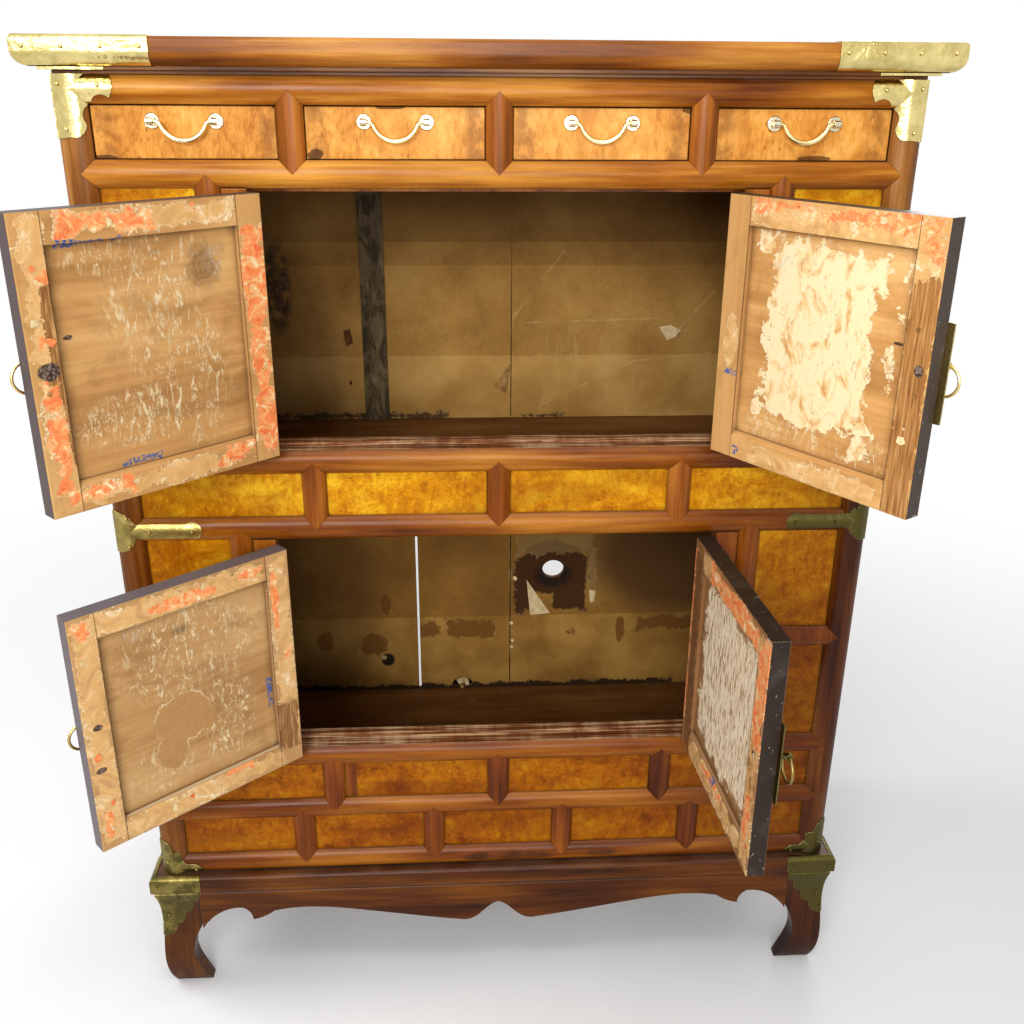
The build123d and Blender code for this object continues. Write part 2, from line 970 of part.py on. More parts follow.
def band_block(grow):
    """Outside of the base frame with its rounded edges, grown by the given thickness."""
    with BuildPart() as envelope:
        with BuildSketch(Plane.XY.offset(leg_top - grow)):
            with Locations((0, (band_front + back_y) / 2)):
                Rectangle(2 * (band_half + grow), back_y - band_front + 2 * grow)
        extrude(amount=band_height + 2 * grow)
        long_edges = envelope.edges().filter_by(Axis.Z, reverse=True)
        fillet(long_edges, radius=band_round + grow)
    return envelope.part


band_skin = sheet + sheet_seat
band_arms = corner_arms(
    (band_half + band_skin, band_front - band_skin),
    band_plate_length,
    base_plate_side,
    band_plate_depth,
    (leg_top + band_round / 2, base_height + band_skin),
)
sheathed_band = band_block(band_skin)
seated_band = band_block(sheet_seat)
with BuildPart() as band_plate:
    add(sheathed_band)
    add(band_arms, mode=Mode.INTERSECT)
    add(seated_band, mode=Mode.SUBTRACT)


def leg_plate_outline(edge, inward):
    """Scalloped face that narrows down the leg."""

    def at(depth, drop):
        return (edge + inward * depth, leg_top - drop)

    return scalloped(
        (at(0, 0), at(leg_width - 2, 0)),
        (at(leg_width - 2, 0), at(leg_width - 1, 11), at(52, 18)),
        (at(52, 18), at(51, 32), at(38, 38)),
        (at(38, 38), at(38, 52), at(26, 57)),
        (at(26, 57), at(23, 71), at(10, leg_plate_height)),
        (at(10, leg_plate_height), at(0, leg_plate_height)),
        (at(0, leg_plate_height), at(0, 0)),
    )


leg_front_plate = moulded_sheet(front_leg, leg_plate_outline(base_half, -1), front_view)
leg_side_plate = moulded_sheet(front_leg, leg_plate_outline(leg_front, 1), side_view)
fixed_plates = [
    top_plate,
    bottom_plate,
    strap,
    flange,
    band_plate.part,
    leg_front_plate,
    leg_side_plate,
]
save("corner_brasses", mirrored(fixed_plates))

# ---------------------------------------------------------------------------
# Domed nails in the fixed brass
# ---------------------------------------------------------------------------


def dome(plane, radius=nail_radius):
    """Domed head seated on a plane."""
    with BuildPart() as head:
        with Locations(plane):
            Sphere(radius, arc_size1=0, align=(Align.CENTER, Align.CENTER, Align.MIN))
    return head.part


def seat_on(plate, start, direction):
    """Plane square to a plate, where a line from outside first meets it."""
    point, normal = plate.find_intersection_points(Axis(start, direction))[0]
    return Plane(origin=point + normal * sheet_seat, z_dir=normal)


def front_seats(plate, places):
    """Seats of nails driven from the front, from (inset, height) pairs."""
    far = front_y - case_depth
    return [
        seat_on(plate, (half_width - inset, far, height), (0, 1, 0)) for inset, height in places
    ]


def side_seats(plate, places):
    """Seats of nails driven from the right-hand side, from (depth, height) pairs."""
    return [
        seat_on(plate, (case_width, front_y + depth, height), (-1, 0, 0))
        for depth, height in places
    ]


wrap_nail_z = top_low + top_lower_round + nail_radius + 2
band_middle = (leg_top + base_height) / 2
nail_seats = [
    *front_seats(top_wrap.part, [(inset, wrap_nail_z) for inset in (-18, 22, 62, 102)]),
    *side_seats(top_wrap.part, [(depth, wrap_nail_z) for depth in (-4, 28, 60)]),
    *front_seats(
        top_plate, [(8, case_top - 10), (12, case_top - 56), (50, case_top - 11)]
    ),
    *front_seats(
        strap,
        [
            (17, tier_middle + 19),
            (17, tier_middle - 19),
            (post_size + 8, tier_middle),
            (strap_reach, tier_middle),
        ],
    ),
    *front_seats(
        bottom_plate, [(17, base_height + 40), (8, base_height + 22), (47, base_height + 9)]
    ),
    *front_seats(band_plate.part, [(-10, band_middle), (42, band_middle)]),
    *side_seats(band_plate.part, [(-10, band_middle), (24, band_middle)]),
    *front_seats(leg_front_plate, [(16, leg_top - 9), (0, leg_top - 42), (-8, leg_top - 68)]),
]
save("brass_nails", mirrored([dome(seat) for seat in nail_seats]))

# ---------------------------------------------------------------------------
# Door hinges
# ---------------------------------------------------------------------------

door_spans = {
    bay: (bays[bay][0] + door_sill_gap, bays[bay][1] - door_top_gap) for bay in door_bays
}


def knuckle(x, low, high, bore):
    """Hinge knuckle round the pin axis."""
    with BuildPart() as barrel:
        with BuildSketch(Plane.XY.offset(low)):
            with Locations((x, hinge_y)):
                Circle(knuckle_radius)
                Circle(bore, mode=Mode.SUBTRACT)
        extrude(amount=high - low)
    return barrel.part


def hinge_leaf(x, outward, middle, reach, lobe, tongues, bore):
    """Flat leaf and its knuckles; outward is the sign from the pin to the leaf."""
    with BuildPart() as plate:
        with BuildSketch(Plane.XZ.offset(-face_y)):
            with Locations((x + outward * (leaf_setback + reach) / 2, middle)):
                Rectangle(reach - leaf_setback, hinge_height)
            for low, high in tongues:
                with Locations((x + outward * leaf_setback / 2, middle + (low + high) / 2)):
                    Rectangle(leaf_setback, high - low)
            if lobe:
                with Locations((x + outward * reach, middle)):
                    Circle(lobe)
        extrude(amount=leaf_thickness)
    body = plate.part
    for low, high in tongues:
        barrel = knuckle(x, middle + low, middle + high, bore)
        with BuildPart() as room:
            with BuildSketch(Plane.XY.offset(middle + low)):
                with Locations((x, hinge_y)):
                    Circle(bore)
            extrude(amount=high - low)
        body = body.cut(room.part).fuse(barrel)
    return body


def hinge_pin(x, middle):
    """Pin with a ball finial at each end."""
    with BuildPart() as pin:
        with BuildSketch(Plane.XY.offset(middle - hinge_height / 2)):
            with Locations((x, hinge_y)):
                Circle(pin_radius)
        extrude(amount=hinge_height)
        end = (hinge_height + finial_radius) / 2
        with Locations((x, hinge_y, middle - end), (x, hinge_y, middle + end)):
            Sphere(finial_radius)
    solid_pin = pin.part
    trimmed = block(
        (x - knuckle_radius, x + knuckle_radius),
        (hinge_y - knuckle_radius, hinge_y + knuckle_radius),
        (middle - hinge_height / 2, middle + hinge_height / 2),
    )
    with BuildPart() as core:
        with BuildSketch(Plane.XY.offset(middle - hinge_height / 2)):
            with Locations((x, hinge_y)):
                Circle(pin_radius)
        extrude(amount=hinge_height)
    return solid_pin.cut(trimmed).fuse(core.part)


outer_tongues = [
    (-hinge_height / 2, -middle_knuckle / 2 - knuckle_gap),
    (middle_knuckle / 2 + knuckle_gap, hinge_height / 2),
]
inner_tongue = [(-middle_knuckle / 2, middle_knuckle / 2)]
hinge_middles = {
    bay: (span[0] + hinge_inset, span[1] - hinge_inset) for bay, span in door_spans.items()
}
frame_leaves = []
hinge_pins = []
for middles in hinge_middles.values():
    for middle in middles:
        frame_leaves.append(
            hinge_leaf(hinge_x, 1, middle, frame_leaf_reach, 0, outer_tongues, pin_radius)
        )
        hinge_pins.append(hinge_pin(hinge_x, middle))
save("frame_hinge_leaves", mirrored(frame_leaves))
save("hinge_pins", mirrored(hinge_pins))

# ---------------------------------------------------------------------------
# Doors, made shut on the right-hand side, then turned and mirrored
# ---------------------------------------------------------------------------

free_edge = door_meeting_gap
hinge_edge = free_edge + door_width
door_back = face_y + door_thickness


def door_frame(low, high):
    """Two full-height stiles and two rails between them."""
    deep = (face_y, door_back)
    inner_free = free_edge + door_frame_width
    inner_hinge = hinge_edge - door_frame_width
    with BuildPart() as free_stile:
        add(block((free_edge, inner_free), deep, (low, high)))
        fillet(free_stile.edges().filter_by(Axis.Z).group_by(Axis.X)[0], door_edge_round)
    with BuildPart() as hinge_stile:
        add(block((inner_hinge, hinge_edge), deep, (low, high)))
        fillet(hinge_stile.edges().filter_by(Axis.Z).group_by(Axis.X)[-1], door_edge_round)
    with BuildPart() as lower_rail:
        add(block((inner_free, inner_hinge), deep, (low, low + door_frame_width)))
        inner_edge = lower_rail.edges().filter_by(Axis.X).group_by(Axis.Z)[-1].sort_by(Axis.Y)[-1]
        chamfer(inner_edge, door_chamfer)
    upper_rail = block((inner_free, inner_hinge), deep, (high - door_frame_width, high))
    return [free_stile.part, hinge_stile.part, lower_rail.part, upper_rail]


def door_panel(low, high):
    """Panel held between the stiles and rails."""
    front = face_y + door_panel_recess
    return block(
        (free_edge + door_frame_width, hinge_edge - door_frame_width),
        (front, front + door_panel_thickness),
        (low + door_frame_width, high - door_frame_width),
    )


def facing(x, y, z):
    """Seat on a flat face that looks forward."""
    return Plane(origin=(x, y, z), z_dir=(0, -1, 0))


def lock_plate(middle, inner, lift):
    """Half-round plate on the free stile, cut straight at the given inner edge."""
    with BuildPart() as plate:
        with BuildSketch(Plane.XZ.offset(-face_y + lift)):
            with Locations((free_edge, middle)):
                Circle(lock_radius)
            with Locations((inner - lock_radius, middle)):
                Rectangle(2 * lock_radius, 2 * lock_radius, mode=Mode.SUBTRACT)
        extrude(amount=sheet)
    return plate.part


def staple(x, z, reach):
    """Shank and eye that carry a ring pull; the eye is bored along X."""
    eye_y = face_y - reach
    with BuildPart() as post:
        with BuildSketch(Plane.XZ.offset(-face_y + sheet + overlap_lift)):
            with Locations((x, z)):
                Circle(staple_shank)
        extrude(amount=reach - sheet - overlap_lift)
        with BuildSketch(Plane.YZ.offset(x - staple_length / 2)):
            with Locations((eye_y, z)):
                Circle(staple_eye)
        extrude(amount=staple_length)
        with BuildSketch(Plane.YZ.offset(x - staple_length / 2)):
            with Locations((eye_y, z)):
                Circle(ring_wire + running_clearance)
        extrude(amount=staple_length, mode=Mode.SUBTRACT)
    return post.part


def ring_pull(x, z, reach):
    """Ring with a straight length through the eye of its staple."""
    half_angle = asin(ring_pin / 2 / ring_radius)
    drop = ring_radius * cos(half_angle)
    with BuildPart() as ring:
        with BuildLine() as path:
            CenterArc(
                (0, -drop),
                ring_radius,
                90 + degrees(half_angle),
                360 - 2 * degrees(half_angle),
            )
        with BuildSketch(Plane(origin=path.line @ 0, z_dir=path.line % 0)):
            Circle(ring_wire)
        sweep()
        with Locations((-ring_pin / 2, 0), (ring_pin / 2, 0)):
            Sphere(ring_wire)
        with Locations(Location((0, 0, 0), (0, 90, 0))):
            Cylinder(ring_wire, ring_pin)
    return Pos(x, face_y - reach, z) * Rot(90, 0, 0) * ring.part


def door_brass(low, high, middles, left_hand):
    """Lock plate, boss, staple, hinge leaves and nails of one door."""
    middle = (low + high) / 2
    plate_inner = free_edge + lock_overhang + lock_clearance if left_hand else -lock_overhang
    inset = left_staple_inset if left_hand else right_staple_inset
    reach = left_staple_out if left_hand else right_staple_out
    lift = sheet_seat if left_hand else overlap_lift
    seat_y = face_y - lift - sheet
    plate = lock_plate(middle, plate_inner, lift)
    eye = staple(free_edge + inset, middle + staple_rise, reach)
    pieces = [plate.fuse(eye)]
    boss_x = free_edge + left_staple_inset + boss_radius
    pieces.append(dome(facing(boss_x, seat_y, middle + boss_rise), boss_radius))
    for angle in (-62, -20, 20, 62):
        turn = radians(angle)
        nail_reach = lock_radius - 2.5 * nail_radius
        nail_x = free_edge + nail_reach * cos(turn)
        pieces.append(dome(facing(nail_x, seat_y, middle + nail_reach * sin(turn))))
    bore = pin_radius + running_clearance
    for hinge_middle in middles:
        leaf = hinge_leaf(
            hinge_x, -1, hinge_middle, door_leaf_reach, leaf_lobe, inner_tongue, bore
        )
        pieces.append(leaf)
        for along, rise in ((14, 14), (14, -14), (door_leaf_reach, 0)):
            seat = facing(hinge_x - along, face_y - leaf_thickness, hinge_middle + rise)
            pieces.append(dome(seat))
    return pieces


for name, angle in open_angles.items():
    tier, hand = name.split("_")
    left_hand = hand == "left"
    low, high = door_spans[f"{tier}_doors"]
    staple_z = (low + high) / 2 + staple_rise
    staple_inset = left_staple_inset if left_hand else right_staple_inset
    staple_out = left_staple_out if left_hand else right_staple_out
    nodes = {
        "door_frame": door_frame(low, high),
        "door_panel": [door_panel(low, high)],
        "door_brass": door_brass(low, high, hinge_middles[f"{tier}_doors"], left_hand),
        "ring_pull": [ring_pull(free_edge + staple_inset, staple_z, staple_out)],
    }
    turn_axis = Axis((hinge_x, hinge_y, 0), (0, 0, 1))
    for kind, solids in nodes.items():
        turned = [solid.rotate(turn_axis, angle) for solid in solids]
        if left_hand:
            turned = [mirror(solid, about=Plane.YZ) for solid in turned]
        save(f"{name}_{kind}", turned)

# ---------------------------------------------------------------------------
# Drawers
# ---------------------------------------------------------------------------

drawer_low, drawer_high = bays["drawers"]
drawer_face = front_y + drawer_recess
drawer_inside_front = drawer_face + drawer_front
drawer_end = drawer_face + drawer_length
handle_z = (drawer_low + drawer_high) / 2 + bail_rise


def drawer_front_board(left, right):
    with BuildPart() as board:
        add(
            block(
                (left, right),
                (drawer_face, drawer_inside_front),
                (drawer_low + drawer_clearance, drawer_high - 2 * drawer_clearance),
            )
        )
        fillet(board.faces().sort_by(Axis.Y)[0].edges(), drawer_edge_round)
    return board.part


def drawer_box(left, right):
    """Two sides, a back between them and a bottom between all three and the front."""
    low = drawer_low + drawer_clearance
    tall = (low, low + drawer_side_height)
    deep = (drawer_inside_front, drawer_end)
    inner_left = left + drawer_side
    inner_right = right - drawer_side
    back_deep = (drawer_end - drawer_side, drawer_end)
    bottom_deep = (drawer_inside_front, drawer_end - drawer_side)
    return [
        block((left, inner_left), deep, tall),
        block((inner_right, right), deep, tall),
        block((inner_left, inner_right), back_deep, tall),
        block((inner_left, inner_right), bottom_deep, (low, low + drawer_bottom)),
    ]


def rosette(x):
    """Round seat, shank and bored eye for one end of a bail."""
    eye_y = drawer_face - rosette_out
    with BuildPart() as seat:
        with BuildSketch(Plane.XZ.offset(-drawer_face)):
            with Locations((x, handle_z)):
                Circle(rosette_radius)
        extrude(amount=rosette_thickness)
        chamfer(seat.edges().group_by(Axis.Y)[0], rosette_thickness / 2)
        with BuildSketch(Plane.XZ.offset(-drawer_face)):
            with Locations((x, handle_z)):
                Circle(rosette_shank)
        extrude(amount=rosette_out)
        with BuildSketch(Plane.YZ.offset(x - rosette_eye_length / 2)):
            with Locations((eye_y, handle_z)):
                Circle(rosette_eye)
        extrude(amount=rosette_eye_length)
        with BuildSketch(Plane.YZ.offset(x - rosette_eye_length / 2)):
            with Locations((eye_y, handle_z)):
                Circle(bail_pin + running_clearance)
        extrude(amount=rosette_eye_length, mode=Mode.SUBTRACT)
    return seat.part


def bail(x):
    """Drop handle: two pins in the rosettes' eyes and a bow hanging between them."""
    neck = bail_span / 2 - rosette_eye_length / 2 - bail_shoulder_gap
    sweep_angle = 2 * degrees(atan(bail_drop / neck))
    bow_radius = neck / sin(radians(sweep_angle)) - bail_neck_radius
    pin_length = rosette_eye_length + bail_shoulder_gap
    with BuildPart() as handle:
        with BuildLine() as path:
            left_neck = JernArc((-neck, 0), (1, 0), bail_neck_radius, -sweep_angle)
            belly = JernArc(left_neck @ 1, left_neck % 1, bow_radius, 2 * sweep_angle)
            JernArc(belly @ 1, belly % 1, bail_neck_radius, -sweep_angle)
        for place, radius in ((0, bail_end), (0.5, bail_belly), (1, bail_end)):
            across = Plane(origin=path.line @ place, x_dir=(0, 0, 1), z_dir=path.line % place)
            with BuildSketch(across):
                Circle(radius)
        sweep(multisection=True)
        pin_middle = neck + pin_length / 2
        with Locations(
            Location((-pin_middle, 0, 0), (0, 90, 0)), Location((pin_middle, 0, 0), (0, 90, 0))
        ):
            Cylinder(bail_pin, pin_length)
    return Pos(x, drawer_face - rosette_out, handle_z) * Rot(90, 0, 0) * handle.part


drawer_centres = bay_stiles["drawers"]
drawer_lefts = [-inner_half, *(x + stile_width / 2 for x in drawer_centres)]
drawer_rights = [*(x - stile_width / 2 for x in drawer_centres), inner_half]
for number, (left_stile, right_stile) in enumerate(zip(drawer_lefts, drawer_rights), start=1):
    left = left_stile + drawer_clearance
    right = right_stile - drawer_clearance
    middle = (left + right) / 2
    save(f"drawer_{number}_front", [drawer_front_board(left, right)])
    save(f"drawer_{number}_box", drawer_box(left, right))
    eyes = [rosette(middle - bail_span / 2), rosette(middle + bail_span / 2)]
    save(f"drawer_{number}_rosettes", eyes)
    save(f"drawer_{number}_bail", [bail(middle)])
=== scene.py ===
"""Looks of the Korean two-tier chest: woods, torn paper, old paint, brass, light and camera."""

import functools
import json
import math
import random

import bmesh
import bpy
from mathutils import Matrix, Vector


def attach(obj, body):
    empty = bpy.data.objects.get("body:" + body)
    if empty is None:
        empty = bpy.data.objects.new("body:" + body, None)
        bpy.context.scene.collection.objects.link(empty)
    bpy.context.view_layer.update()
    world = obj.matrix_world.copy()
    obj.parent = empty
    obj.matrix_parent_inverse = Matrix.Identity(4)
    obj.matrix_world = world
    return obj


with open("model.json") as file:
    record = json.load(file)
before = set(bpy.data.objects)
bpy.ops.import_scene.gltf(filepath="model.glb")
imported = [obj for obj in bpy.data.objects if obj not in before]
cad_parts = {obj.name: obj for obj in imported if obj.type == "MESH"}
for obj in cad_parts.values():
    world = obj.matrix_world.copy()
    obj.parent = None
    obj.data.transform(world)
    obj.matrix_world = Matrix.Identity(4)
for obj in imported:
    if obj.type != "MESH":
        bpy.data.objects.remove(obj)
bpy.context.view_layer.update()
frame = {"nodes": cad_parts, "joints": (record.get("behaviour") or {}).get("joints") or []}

nodes = frame["nodes"]
joints = {joint["name"]: joint for joint in frame["joints"]}

DOORS = ("upper_left", "upper_right", "lower_left", "lower_right")
DRAWERS = range(1, 5)
METRES_TO_MM = 1000.0
MM = 0.001


# Camera

FOCAL_PIXELS = 1063.0
IMAGE_PIXELS = 1024
CAMERA_PLACE = (-0.0573, -1.33597, 1.2591)
CAMERA_YAW = math.radians(3.4)
CAMERA_PITCH = math.radians(22.02)
CAMERA_ROLL = math.radians(0.41)


def add_camera():
    yaw, pitch, roll = CAMERA_YAW, CAMERA_PITCH, CAMERA_ROLL
    forward = Vector(
        (math.sin(yaw) * math.cos(pitch), math.cos(yaw) * math.cos(pitch), -math.sin(pitch))
    )
    level = Vector((math.cos(yaw), -math.sin(yaw), 0))
    above = level.cross(forward)
    right = level * math.cos(roll) + above * math.sin(roll)
    up = above * math.cos(roll) - level * math.sin(roll)
    turn = Matrix((right, up, -forward)).transposed()
    data = bpy.data.cameras.new("camera")
    data.sensor_width = 36
    data.lens = FOCAL_PIXELS / IMAGE_PIXELS * data.sensor_width
    camera = bpy.data.objects.new("camera", data)
    camera.matrix_world = Matrix.Translation(CAMERA_PLACE) @ turn.to_4x4()
    bpy.context.scene.collection.objects.link(camera)
    bpy.context.scene.camera = camera


# Node graphs


def srgb(red, green, blue):
    """Colour as written on a screen, 0 to 255, in the linear values that Blender uses."""
    values = [channel / 255 for channel in (red, green, blue)]
    linear = [v / 12.92 if v <= 0.04045 else ((v + 0.055) / 1.055) ** 2.4 for v in values]
    return (*linear, 1)


class Graph:
    """Short spellings for the nodes of one material, or of the world."""

    def __init__(self, name, library="materials", output="OutputMaterial"):
        self.owner = getattr(bpy.data, library).new(name)
        self.owner.use_nodes = True
        self.tree = self.owner.node_tree
        self.tree.nodes.clear()
        self.output = self.node(output)

    def node(self, kind, **properties):
        made = self.tree.nodes.new("ShaderNode" + kind)
        for key, value in properties.items():
            setattr(made, key, value)
        return made

    def put(self, socket, value):
        if isinstance(value, bpy.types.NodeSocket):
            self.tree.links.new(value, socket)
        else:
            socket.default_value = value

    def make(self, kind, values, out=0, **properties):
        """One output of a new node, whose inputs are set by number or by name."""
        made = self.node(kind, **properties)
        for key, value in values.items() if isinstance(values, dict) else enumerate(values):
            self.put(made.inputs[key], value)
        return made.outputs[out]

    def math(self, operation, first, second=0, third=0):
        return self.make("Math", (first, second, third), operation=operation)

    def add(self, first, second):
        return self.math("ADD", first, second)

    def times(self, first, second):
        return self.math("MULTIPLY", first, second)

    def fit(self, value, factor, offset):
        """The value times a factor, plus an offset."""
        return self.math("MULTIPLY_ADD", value, factor, offset)

    def sway(self, value, noise, amount):
        """The value, swung both ways by a noise."""
        return self.add(value, self.fit(noise, amount, -amount / 2))

    def vector(self, operation, first, second=(0, 0, 0)):
        return self.make("VectorMath", (first, second), operation=operation)

    def scale(self, vector, factors):
        return self.vector("MULTIPLY", vector, factors)

    def dot(self, first, second):
        return self.make("VectorMath", (first, second), "Value", operation="DOT_PRODUCT")

    def length(self, vector):
        return self.make("VectorMath", (vector,), "Value", operation="LENGTH")

    def split(self, vector):
        made = self.node("SeparateXYZ")
        self.put(made.inputs[0], vector)
        return tuple(made.outputs)

    def join(self, x, y, z):
        return self.make("CombineXYZ", (x, y, z))

    def noise(self, vector, scale, detail=3, roughness=0.55, distortion=0):
        inputs = ("Vector", "Scale", "Detail", "Roughness", "Distortion")
        return self.make("TexNoise", dict(zip(inputs, (vector, scale, detail, roughness, distortion))))

    def streaks(self, vector, factors, *shape):
        """Noise drawn out by its own factor along each axis."""
        return self.noise(self.scale(vector, factors), 1, *shape)

    def cells(self, vector, scale, feature="F1"):
        return self.make("TexVoronoi", {"Vector": vector, "Scale": scale}, "Distance", feature=feature)

    def random(self, vector):
        return self.make("TexWhiteNoise", {"Vector": vector}, "Value", noise_dimensions="3D")

    def range(self, value, low, high, to_low=0, to_high=1):
        limits = (value, low, high, to_low, to_high)
        return self.make("MapRange", limits, interpolation_type="SMOOTHSTEP")

    def mix(self, factor, first, second, blend="MIX"):
        colours = {0: factor, 6: first, 7: second}
        return self.make("Mix", colours, 2, data_type="RGBA", blend_type=blend)

    def blend(self, factor, first, second):
        return self.make("Mix", {0: factor, 2: first, 3: second}, data_type="FLOAT")

    def blend_vector(self, factor, first, second):
        return self.make("Mix", {0: factor, 4: first, 5: second}, 1, data_type="VECTOR")

    def ramp(self, value, *stops):
        made = self.node("ValToRGB")
        elements = made.color_ramp.elements
        while len(elements) < len(stops):
            elements.new(0.5)
        for element, (position, colour) in zip(elements, stops):
            element.position = position
            element.color = colour
        self.put(made.inputs[0], value)
        return made.outputs[0]

    def both(self, *masks):
        return functools.reduce(self.times, masks)

    def either(self, *masks):
        return functools.reduce(functools.partial(self.math, "MAXIMUM"), masks)

    def band(self, value, low, high, soft):
        """1 between two limits and 0 outside them, with soft edges."""
        rise = self.range(value, low - soft, low + soft)
        return self.both(rise, self.range(value, high - soft, high + soft, 1, 0))

    def place(self):
        """Place in the chest's frame at rest, in metres."""
        return self.node("TexCoord").outputs["Object"]

    def facing(self):
        """Direction of the surface in the chest's frame at rest."""
        return self.node("TexCoord").outputs["Normal"]

    def crevice(self, distance):
        """0 in corners and gaps, 1 in the open."""
        return self.make("AmbientOcclusion", {"Distance": distance}, "AO", samples=4)

    def edge(self, radius):
        """Mask of the sharp outer edges, and the normal of the softened edges."""
        rounded = self.make("Bevel", {"Radius": radius}, samples=3)
        flat = self.node("NewGeometry").outputs["Normal"]
        return self.range(self.dot(rounded, flat), 0.995, 0.85), rounded

    def show(self, shader):
        self.tree.links.new(shader, self.output.inputs[0])

    def emit(self, strength):
        return self.make("Emission", {"Strength": strength})

    def mix_shaders(self, factor, first, second):
        return self.make("MixShader", (factor, first, second))

    def seen_directly(self):
        """1 for rays that show the surface itself, also mirrored or through glass."""
        rays = self.node("LightPath")
        kinds = ("Camera", "Glossy", "Transmission")
        return self.either(*(rays.outputs[f"Is {kind} Ray"] for kind in kinds))


class Surface:
    """Colour, roughness and height in metres of one material, built up in layers."""

    def __init__(self, g, colour, roughness, height):
        self.g = g
        self.colour = colour
        self.roughness = roughness
        self.height = height

    def cover(self, mask, colour, roughness=None, height=None):
        """Lay a colour where the mask is 1, or where several masks all are."""
        g = self.g
        if isinstance(mask, tuple):
            mask = g.both(*mask)
        self.colour = g.mix(mask, self.colour, colour)
        if roughness is not None:
            self.roughness = g.blend(mask, self.roughness, roughness)
        if height is not None:
            self.height = g.fit(mask, height, self.height)

    def finish(self, normal, constants):
        g = self.g
        relief = {"Height": self.height, "Distance": 1}
        if normal is not None:
            relief["Normal"] = normal
        values = {"Base Color": self.colour, "Roughness": self.roughness, **constants}
        g.show(g.make("BsdfPrincipled", {**values, "Normal": g.make("Bump", relief)}))
        return g.owner


class Chart:
    """Flat face seen square on, in millimetres, on which regions are drawn.

    A region is a field: the distance in from its outline, negative outside.
    """

    def __init__(self, g, across, up, seed):
        self.g = g
        self.point = g.join(across, up, seed)
        self.lobed = g.noise(self.point, 0.024, 3, 0.5, 0.6)
        self.ragged = g.noise(self.point, 0.06, 5, 0.62)
        self.frayed = g.noise(self.point, 0.3, 4, 0.6)

    def box(self, left, right, low, high):
        g = self.g
        inside = g.vector(
            "MINIMUM",
            g.vector("SUBTRACT", self.point, (left, low, -9e3)),
            g.vector("SUBTRACT", (right, high, 9e3), self.point),
        )
        x, y, _ = g.split(inside)
        return g.math("MINIMUM", x, y)

    def disc(self, across, up, half_width, half_height):
        g = self.g
        size = max(half_width, half_height)
        offset = g.vector("SUBTRACT", self.point, (across, up, 0))
        scaled = g.scale(offset, (size / half_width, size / half_height, 0))
        return g.math("SUBTRACT", size, g.length(scaled))

    def stroke(self, start, end, half_width):
        """Straight mark between two points."""
        g = self.g
        run = Vector((end[0] - start[0], end[1] - start[1], 0))
        unit = run.normalized()
        offset = g.vector("SUBTRACT", self.point, (start[0], start[1], 0))
        along = g.dot(offset, (unit.x, unit.y, 0))
        aside = g.math("ABSOLUTE", g.dot(offset, (-unit.y, unit.x, 0)))
        ends = g.math("MINIMUM", along, g.math("SUBTRACT", run.length, along))
        return g.math("MINIMUM", ends, g.math("SUBTRACT", half_width, aside))

    def region(self, shapes):
        """Union of shapes, each a list whose first word names its kind."""
        return self.g.either(*(getattr(self, kind)(*sizes) for kind, *sizes in shapes))

    def torn(self, shapes, reach=9, fray=2.5, soft=0.35):
        """Mask of a region with a torn outline, and of its raised rim."""
        g = self.g
        field = self.region(shapes)
        field = g.sway(field, self.lobed, 3 * reach)
        field = g.sway(field, self.ragged, 4 * reach)
        field = g.sway(field, self.frayed, 4 * fray)
        rim = g.both(g.band(field, 0, 1.8, 0.6), g.range(self.lobed, 0.42, 0.58))
        return g.range(field, -soft, soft), rim

    def soft(self, shapes, blur):
        return self.g.range(self.region(shapes), -blur, blur)


# Woods

WAX = {"Specular IOR Level": 0.16}
POLISH = {"Specular IOR Level": 0.1}
BARE = {"Specular IOR Level": 0.15}
METAL = {"Metallic": 1.0}

GRAIN_ORDER = {"X": (0, 1, 2), "Y": (1, 0, 2), "Z": (2, 0, 1)}


def along(g, place, axis):
    """Coordinates with the grain along the first axis."""
    parts = g.split(place)
    return g.join(*(parts[index] for index in GRAIN_ORDER[axis]))


def wood_surface(g, grained, seed, dark, middle, light, figure=30, contrast=1):
    """Growth rings, streaks and pores of a board whose grain runs along the first axis."""
    shifted = g.vector("ADD", grained, (seed * 1.37, seed * 0.71, seed * 0.23))
    field = g.streaks(shifted, (1.5, 9, 9), 2, 0.45, 0.3)
    rings = g.math("SINE", g.times(field, figure))
    streak = g.streaks(shifted, (7, 130, 130), 3, 0.6)
    pores = g.streaks(shifted, (80, 1300, 1300), 2, 0.7)
    broad = g.streaks(shifted, (3, 7, 7), 3, 0.5)
    tone = g.fit(rings, 0.11 * contrast, 0.5)
    tone = g.sway(tone, streak, 0.7 * contrast)
    tone = g.sway(tone, broad, 1.1 * contrast)
    colour = g.ramp(tone, (0.12, dark), (0.5, middle), (0.9, light))
    colour = g.mix(g.range(pores, 0.6, 0.75, 0, 0.4), colour, dark)
    roughness = g.fit(streak, 0.2, 0.16)
    height = g.fit(streak, 0.00018, g.times(pores, -0.00006))
    return Surface(g, colour, roughness, height)


def age_and_shade_by_height(g, place, surface, darkest, depth):
    """Darken the wood down to the given height in metres: partly aged varnish and dirt, partly painted
    shade where the light falls off towards the floor. Also painted shade at the lower right of the
    front.
    """
    x, _, z = g.split(place)
    # Partly aged varnish and dirt, partly painted shade of the light falling off downwards.
    low = g.range(z, 1.22, darkest, 0, depth)
    surface.colour = g.mix(low, surface.colour, srgb(176, 142, 36), "MULTIPLY")
    # Painted shade: darker towards the lower right, where less light falls, partly in the shade of the
    # open doors.
    corner = g.both(g.range(x, 0.1, 0.42, 0, 0.6), g.range(z, 0.95, 0.55))
    surface.colour = g.mix(corner, surface.colour, srgb(170, 140, 90), "MULTIPLY")


